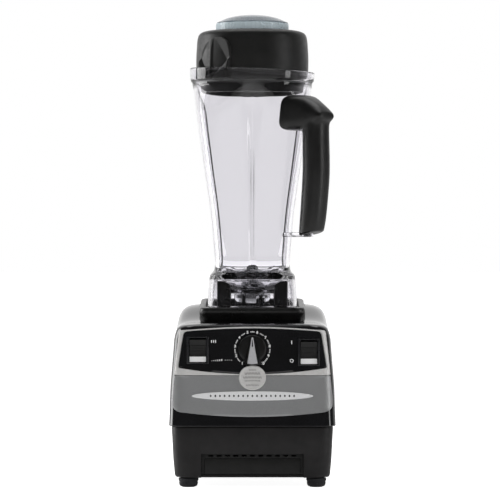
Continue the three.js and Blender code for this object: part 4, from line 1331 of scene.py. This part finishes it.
# %% [markdown]
# ## The jar
# One clear moulding with a wall 3 mm thick: the profile runs up the outside, over the rim, down the
# inside to the floor, through the hole for the blade, and along the underside to the skirt that
# stands on the pad. The closed profile gives the wall its thickness, which clear plastic needs to
# bend light as the real one does.

# %% The jar's levels
RIM_Z, LEDGE_Z, WALL = 457.3, 443.8, 3
BODY_LEVELS = [  # z, half width, power, flute depth, flute half width
    (246, 41.8, 4.6, 3.4, 5.2), (257, 42.4, 4.6, 3.6, 5.4), (301, 46.8, 4.6, 4, 6),
    (346, 53.5, 4.4, 4.8, 7), (391, 60.2, 4, 6, 11), (413, 63.2, 3.6, 6.4, 13.5),
    (428, 64.9, 2.9, 3, 13.5), (437, 66.3, 2.2, 0.5, 13.5),
]


def body_rows(shrink):
    """The tapered part of the jar as rows for the ring stack, moved inwards by shrink."""
    z, half, power, flute, spread = flow(BODY_LEVELS, 6).T
    return np.column_stack([half - shrink, z, power, flute, spread, np.zeros(len(z))])


# Each row below holds half, z, power, flute, spread and lip, and then how far its corner is rounded.
outside = rounded([
    (46.8, JAR_FOOT, 5, 0, 1, 0, 0), (49.8, JAR_FOOT, 5, 0, 1, 0, 0.9), (49.5, 200, 5, 0, 1, 0, 2),
    (48.9, 214, 5, 0, 1, 0, 3), (48.1, 226, 5, 0, 1, 0, 2.5), (46.9, 230.6, 4.8, 0, 1, 0, 2),
    (42.9, 233.4, 4.6, 0.4, 5.2, 0, 2.6), (41.7, 239, 4.6, 2.6, 5.2, 0, 3),
    (41.8, 244, 4.6, 3.4, 5.2, 0, 0),
])
lip = rounded([
    (66.7, 440, 2, 0, 13.5, 0, 0), (67.2, 443.6, 2, 0, 1, -0.3, 2), (68.9, 445.6, 2, 0, 1, -1, 1.6),
    (69.2, 451, 2, 0, 1, -1, 2), (69.4, RIM_Z - 2, 2, 0, 1, 1, 1), (69.3, RIM_Z, 2, 0, 1, 1, 1.2),
    (66.9, RIM_Z, 2, 0, 1, 1, 1.2), (66.7, RIM_Z - 3, 2, 0, 1, 1, 1), (66.5, 448, 2, 0, 1, -1, 1),
    (66.3, LEDGE_Z, 2, 0, 1, -1, 0.4), (63.6, LEDGE_Z, 2, 0, 1, 0, 0.6), (63.4, 440.4, 2, 0, 13.5, 0, 0),
])
inside = rounded([
    (38.8, 243, 4.6, 3.4, 5.2, 0, 0), (38.6, 236, 4.6, 2.4, 5.2, 0, 3), (38.3, 229.6, 4, 0, 5.2, 0, 3),
    (33, 222.6, 3.3, 0, 1, 0, 3), (25.5, 216.6, 2.4, 0, 1, 0, 3), (21, JAR_FLOOR, 2, 0, 1, 0, 1),
    (13.4, JAR_FLOOR, 2, 0, 1, 0, 0.3), (13.4, 209, 2, 0, 1, 0, 0.3), (24, 209, 2.5, 0, 1, 0, 2),
    (30.5, 211.4, 3, 0, 1, 0, 2), (43.5, 224.6, 4, 0, 1, 0, 1), (45, 225, 5, 0, 1, 0, 0.8),
    (46.2, 208, 5, 0, 1, 0, 3), (46.8, JAR_FOOT + 0.6, 5, 0, 1, 0, 0.4), (46.8, JAR_FOOT, 5, 0, 1, 0, 0),
])
jar_rows = np.vstack([outside, body_rows(0), lip, body_rows(WALL)[::-1], inside])
jar = ring_stack(jar_rows, JAR_CLEAR, 224)
print("jar levels", len(jar_rows))

# %% The jar's tongue and boss, which hold the handle
TO_HANDLE = Matrix.Rotation(-math.pi / 4, 4, "Z")  # the front right corner
TONGUE = (40, 90, -5.5, 5.5, 271.6, 276.6)  # from and to: outwards, across and up
BOSS = (62, 86, -7, 7, 400, 414)
SCREWS = {"upper": (79, 388.5, 18), "lower": (84, 272.4, 15)}  # distance out, lowest z, length
SCREW_HEAD = 2.4


def bar_on_handle(extents, grow=0.0, bevel=0.0):
    """A bar from the jar towards the handle, or, when grown, the slot that takes it."""
    x0, x1, y0, y1, z0, z1 = extents
    shape = block_mm((x0, y0 - grow, z0 - grow), (x1 + grow, y1 + grow, z1 + grow))
    shape = bevelled(shape, bevel * MM, 3) if bevel else shape
    return moved(shape, TO_HANDLE)


def screw_body(name, grow=0.0):
    """A screw with its head down, or, when grown, the hole for it and for the driver below."""
    x, z, length = SCREWS[name]
    head, stem, low = 3.6 + grow, 2 + grow, z - grow * 24
    top = z + length + grow
    neck = z + SCREW_HEAD + grow
    rows = [
        (0, low, 0), (head, low, 0), (head, neck, 0.1), (stem, neck, 0.1), (stem, top, 0), (0, top, 0)
    ]
    return moved(turned(rows, STEEL, 32), TO_HANDLE @ Matrix.Translation((x * MM, 0, 0)))


# The tongue and the boss start inside the wall, so they are cut by the jar's own inside first.
hollow_rows = [(0, 216, 2, 0, 1, 0), (30, 222, 4, 0, 1, 0), *body_rows(WALL * 0.6), (0, 437, 2, 0, 1, 0)]
hollow = ring_stack(hollow_rows, JAR_CLEAR, 128)
bars = joined(bar_on_handle(TONGUE, 0, 1.6), bar_on_handle(BOSS, 0, 1.2))
fixings = cut(bars, hollow, screw_body("upper", AIR), screw_body("lower", AIR))
jar = cut(jar, fixings, operation="UNION")
settle("clear_jar_body", jar, JAR_CLEAR, "jar", 50)

# %% [markdown]
# ## The handle
# A soft-touch moulding: a wide arm hugs the corner of the jar, turns down, and becomes a grip with a
# slanted end. Two lofts give its two directions. Remeshing them at under a millimetre and relaxing
# the result melts the join into the one smooth curve that the hand feels, and the jar's own outside,
# grown a little, is then taken away so that the arm fits the corner.

# %% The handle
ARM = [  # distance from the jar's axis, half width, lowest and highest z
    (56, 22.5, 388, 425.6), (66, 22.5, 388, 426.6), (76, 22, 388, 427.2), (87, 18.5, 388, 425.8),
    (97, 15.8, 389, 421), (106, 14.4, 392, 415.4), (112, 13.4, 396.5, 410), (115.6, 11, 400, 406.4),
]
GRIP = [  # z, distance from the jar's axis, half thickness, half width
    (412, 99.5, 10.5, 10.8), (404, 99.2, 13.4, 13.6), (388, 98, 13.6, 14), (345, 98.6, 13.9, 14.2),
    (312, 96, 13.7, 14), (290, 93.4, 13.3, 13.6), (275, 91, 12.8, 13),
]
HANDLE_VOXEL, OVAL_POINTS, END_SLANT = 0.9, 48, 0.22


def oval_section(a, b, power):
    """An oval of half sizes a and b, which a higher power makes squarer."""
    t = np.arange(OVAL_POINTS) * 2 * math.pi / OVAL_POINTS
    c, s = np.cos(t), np.sin(t)
    return a * np.sign(c) * np.abs(c) ** (2 / power), b * np.sign(s) * np.abs(s) ** (2 / power)


arm_rings = []
for x, half, low, high in flow(ARM, 4):
    squareness = 4.6 - 2.2 * np.clip((x - 66) / 40, 0, 1)
    across, up = oval_section(half, (high - low) / 2, squareness)
    arm_rings.append(np.column_stack([np.full(len(across), x), across, (low + high) / 2 + up]))
grip_rings = []
for z, x, thick, half in flow(GRIP, 5):
    out, across = oval_section(thick, half, 2.5)
    slant = END_SLANT * np.clip((290 - z) / 15, 0, 1)
    grip_rings.append(np.column_stack([x + out, across, z + slant * out]))
melted = cut(skin_mm(arm_rings), skin_mm(grip_rings), operation="UNION")
melted = modified(
    melted,
    ("REMESH", {"mode": "VOXEL", "voxel_size": HANDLE_VOXEL * MM, "use_smooth_shade": True}),
    ("SMOOTH", {"factor": 0.5, "iterations": 36}),
)
melted = moved(melted, TO_HANDLE)
outer_rows = [
    (0, 240, 4.6, 0, 1, 0), *body_rows(-AIR - 0.1), (67.4, 440, 2, 0, 1, 0), (0, 440, 2, 0, 1, 0)
]
jar_outer = ring_stack(outer_rows, GRIP_BLACK, 128)
handle = cut(
    melted, jar_outer, bar_on_handle(TONGUE, AIR), bar_on_handle(BOSS, AIR),
    screw_body("upper", AIR), screw_body("lower", AIR),
)
settle("handle_moulding", handle, GRIP_BLACK, "handle", 40)
for name in SCREWS:
    settle("handle_screw_" + name + "_turned", screw_body(name), STEEL, "handle_screw_" + name)

# %% [markdown]
# ## The lid
# A soft rubber drum pushed into the mouth of the jar, with a flap at each side to lift it by. The
# drum is turned. Each flap is a loft whose outline is an arch that leans to one side. A ridge stands
# down its middle, with a pit for the thumb at each side of it and a sloping sill under each pit.

# %% The lid's drum and flaps
SKIRT_END, LID_TOP = 431.2, 501
DRUM_PROFILE = [
    (33, 462, 0.6), (33, 496.5, 1), (56.5, 496.5, 2), (58.4, 490, 2), (58.8, 450, 1), (53.5, 444.5, 1),
    (53.5, SKIRT_END, 0.6), (57.8, SKIRT_END, 1.2), (58.4, 441, 1), (58.6, LEDGE_Z + AIR, 0.4),
    (59.7, LEDGE_Z + AIR, 0.6), (62.4, 456, 4), (62.7, 470, 6), (61.4, 491, 4), (59.6, 497.4, 3),
    (54.6, 500.2, 3), (48, LID_TOP, 3), (42.4, LID_TOP, 0.4), (42.2, 500.1, 0.2), (41.2, 500.1, 0.2),
    (41, LID_TOP - 0.1, 0.2), (30.4, LID_TOP - 0.1, 0.4), (30, 462, 0.6),
]
drum = turned(DRUM_PROFILE, RUBBER, 160, closed=True)
FLAP_LOW, FLAP_TOP, FLAP_HALF, FLAP_OUT = LEDGE_Z + 2.4, 491.6, 24, 64.4
FLAP_SILL, ARCH_FROM, FLAP_LEAN = 0.42, 0.42, 7
RIDGE_AT, RIDGE_HALF, PIT_DEPTH, FLAP_BACK = -2, 2.8, 5.2, 54
FLAP_COLUMNS, FLAP_ROWS = 61, 41


def flap_half(v):
    """Half the width of the flap at a height share v from 0 to 1."""
    arch = 1 - np.clip((v - ARCH_FROM) / (1 - ARCH_FROM), 0, 1) ** 2.6
    return FLAP_HALF * (1 - 0.06 * v) * np.sqrt(np.clip(arch, 0, 1))


def flap_front(u, v, half):
    """How far the flap's face stands from the axis, at u across it and the height share v."""
    across = np.abs(u) / max(half, 0.5)
    edge = np.clip((1 - across) / 0.06, 0, 1)
    sill = FLAP_SILL * np.clip((across - 0.14) / 0.86, 0, 1)
    above = np.clip(v - sill, 0, 1)
    down_in = 1.6 * np.clip(v / FLAP_SILL, 0, 1) + 26 * above
    from_top = 9 * np.clip(0.98 - v, 0, 1)
    deep = np.minimum(down_in, np.minimum(from_top, PIT_DEPTH))
    ridge = 1 / (1 + ((u - RIDGE_AT + FLAP_LEAN * v**2) / RIDGE_HALF) ** 6)
    round_off = 0.8 * (1 - np.sqrt(np.clip(1 - (1 - edge) ** 2, 0, 1)))
    return FLAP_OUT - deep * (1 - ridge) - round_off


def flap():
    heights = 1 - (1 - np.linspace(0, 1, FLAP_ROWS)) ** 1.5
    rings = []
    for v in heights:
        half = max(float(flap_half(v)), 0.4)
        u = np.linspace(-half, half, FLAP_COLUMNS)
        z = np.full(FLAP_COLUMNS, FLAP_LOW + v * (FLAP_TOP - FLAP_LOW))
        lean = FLAP_LEAN * v**2
        front = np.column_stack([flap_front(u, v, half) - 3.2 * v**3, u + lean, z])
        back = np.column_stack([np.full(FLAP_COLUMNS, FLAP_BACK), u + lean, z])
        rings.append(np.vstack([front, back[::-1]]))
    return skin_mm(rings)


flaps = [moved(flap(), Matrix.Rotation(turn - 0.75 * math.pi, 4, "Z")) for turn in (0, math.pi)]
bore = turned([(0, 440, 0), (58, 440, 0), (57.5, 495.5, 0), (0, 495.5, 0)], RUBBER, 96)
lid = cut(drum, cut(joined(*flaps), bore), operation="UNION")
settle("rubber_lid", bevelled(lid, 0.35 * MM, 2, 60), RUBBER, "lid", 40)

# %% [markdown]
# ## The plug
# A clear cup, upside down: its wall seals in the lid, its domed flange is the cap that the hand turns.
# A frosted band runs round the flange, with a row of ribs for grip that the repeater makes. The band's pale tint is
# painted light, and the dome's darker tint is painted shade.

# %% The plug, its ribs and its seal
PLUG_PROFILE = [
    (0, 519.2, 0), (14, 518.5, 6), (28, 515.8, 6), (36, 512.1, 3), (39.8, 510.4, 0.4),
    (39.8, 509.6, 0.2), (38.6, 509.4, 0.3), (38.6, LID_TOP + AIR, 0.5), (28.2, LID_TOP + AIR, 0.5), (27.4, 458, 0.8),
    (24.4, 458, 0.8), (25, 503, 2), (24, 510.5, 3), (14, 514.2, 4), (0, 515.2, 0),
]
BAND_PROFILE = [
    (38.8, LID_TOP + AIR, 0.2), (40.3, LID_TOP + AIR, 0.3), (40.3, 509.3, 0.3), (38.8, 509.3, 0.2)
]
SEAL_PROFILE = [(28.25, 466, 0.5), (29.6, 466.4, 0.5), (29.6, 469.6, 0.5), (28.25, 470, 0.5)]
RIB_COUNT, RIB_RADIUS, RIB_Z = 60, 39.75 * MM, 505.3 * MM
settle("clear_plug", turned(PLUG_PROFILE, PLUG_CLEAR_PAINTED_SHADE, 128), PLUG_CLEAR_PAINTED_SHADE, "lid_plug", 40)
rib_angles = np.linspace(0, 2 * math.pi, RIB_COUNT, endpoint=False)
rib_spots = [(RIB_RADIUS * math.cos(a), RIB_RADIUS * math.sin(a), RIB_Z) for a in rib_angles]
plug_rib = bevelled(block_mm((-0.8, -0.8, -3.2), (0.75, 0.8, 3.2)), 0.25 * MM, 2)
ribs = repeated(plug_rib, rib_spots, PLUG_BAND_PAINTED_LIGHT, [(0, 0, a) for a in rib_angles])
band = joined(turned(BAND_PROFILE, PLUG_BAND_PAINTED_LIGHT, 128, closed=True), ribs)
decoration("plug_grip_band", band, PLUG_BAND_PAINTED_LIGHT, "lid_plug")
settle("plug_seal_ring", turned(SEAL_PROFILE, RUBBER, 96, closed=True), RUBBER, "plug_seal")

# %% [markdown]
# ## The blade and what holds it
# Four wings are stamped from one steel sheet, two bent up and two bent down, and ground to an edge.
# Each wing is a loft of thin sections along its own bend. The nut, the sleeve and the drive socket
# are turned, and their slots are cut.

# %% The blade
BLADE_Z, SHEET = 229, 1.8


WING_LENGTH, FLAT_LENGTH, BEND_OVER = 30, 19, 3


def wing(bend):
    """Sections from the hub to the tip: along X, width in Y, and the grind along one edge."""
    rings = []
    for s in np.linspace(0, 1, 15):
        reach = WING_LENGTH * s
        past = np.clip(reach - FLAT_LENGTH, 0, WING_LENGTH - FLAT_LENGTH)
        turn = bend * np.clip(past / BEND_OVER, 0, 1)
        tip = np.clip((s - 0.7) / 0.3, 0, 1)
        back_y = -6.2 + 1.4 * s + 2.2 * tip
        edge_y = 6.0 - 3.2 * s - 1.6 * tip
        ground_y = edge_y - 2.4 * min(1, s * 4)
        up = np.array([-math.sin(turn), 0, math.cos(turn)]) * SHEET
        x, z = min(reach, FLAT_LENGTH) + past * math.cos(turn * 0.9), past * math.sin(turn)
        here = np.array([x, 0, BLADE_Z + z])
        section = ((back_y, 0), (edge_y, 0), (edge_y, 0.12), (ground_y, 1), (back_y, 1))
        rings.append(np.array([here + [0, y, 0] + up * share for y, share in section]))
    return skin_mm(rings)


HUB_PROFILE = [
    (4.35, BLADE_Z, 0.1), (8.5, BLADE_Z, 0.2), (8.5, BLADE_Z + SHEET, 0.2), (4.35, BLADE_Z + SHEET, 0.1)
]
blade = turned(HUB_PROFILE, STEEL, 48, closed=True)
for i, bend in enumerate((0.75, -0.3, 0.75, -0.3)):
    one = moved(cut(wing(bend), rod(4.35, 220, 240)), Matrix.Rotation(i * math.pi / 2 + 0.4, 4, "Z"))
    blade = cut(blade, one, operation="UNION")
settle("steel_blade", blade, STEEL, "blade", 30)

# %% Nuts, sleeve and socket
settle("blade_cap_nut", fine_copy("blade_nut", 0.5 * MM, 3), STEEL, "blade_nut")
SLEEVE_PROFILE = [
    (9.9, 197.5, 0.2), (12.8, 197.5, 0.4), (12.8, 215.35, 0), (19, 215.35, 0.3), (19, 217.8, 0.8),
    (12.8, 220.5, 1.4), (12.8, 225.6, 1), (5, 227.4, 0.6), (5, 225.4, 0.2), (9.9, 225.4, 0.2),
]
NUT_PROFILE = [
    (13.4, 196.2, 0.4), (19.4, 196.2, 0.6), (20.2, 197, 0.4), (20.2, 207.8, 0.8), (19.4, 208.6, 0.6),
    (13.4, 208.6, 0.4),
]
SOCKET_PROFILE = [
    (4.35, 172, 0.2), (11, 172, 0.8), (16, 176, 1), (16, 192.2, 1), (15, 193.4, 0.6), (6, 193.4, 0.2),
    (5.8, 181.4, 0), (4.35, 181.4, 0),
]
settle("bearing_housing", turned(SLEEVE_PROFILE, STEEL, 96, closed=True), STEEL, "bearing_sleeve")
nut = turned(NUT_PROFILE, CHROME, 96, closed=True)
notch = block_mm((10, -5, 190), (24, 5, 202.5))
notch_turns = [(0, 0, i * 2 * math.pi / 3 - 1.1) for i in range(3)]
notches = repeated(notch, [(0, 0, 0)] * 3, CHROME, notch_turns)
settle("chrome_nut", bevelled(cut(nut, notches), 0.4 * MM, 2, 45), CHROME, "retainer_nut")

TEETH = 10


def star(outer, inner, low, high):
    """The drive spline: teeth with flat tops."""
    corner = np.arange(TEETH * 4)
    angles = (corner + 0.5) / (TEETH * 4) * 2 * math.pi
    reach = np.where(corner % 4 < 2, outer, inner) * MM
    return prism(np.stack([reach * np.cos(angles), reach * np.sin(angles)], 1), low * MM, high * MM)


socket = cut(turned(SOCKET_PROFILE, STEEL, 96, closed=True), star(6.8, 5.7, 181.4, 200))
settle("drive_socket_cup", bevelled(socket, 0.25 * MM, 2, 50), STEEL, "drive_socket")

# %% [markdown]
# ## Colours
# The scene's colours are shown with the Standard view transform.

# %% Colours and the end
bpy.context.scene.view_settings.view_transform = "Standard"
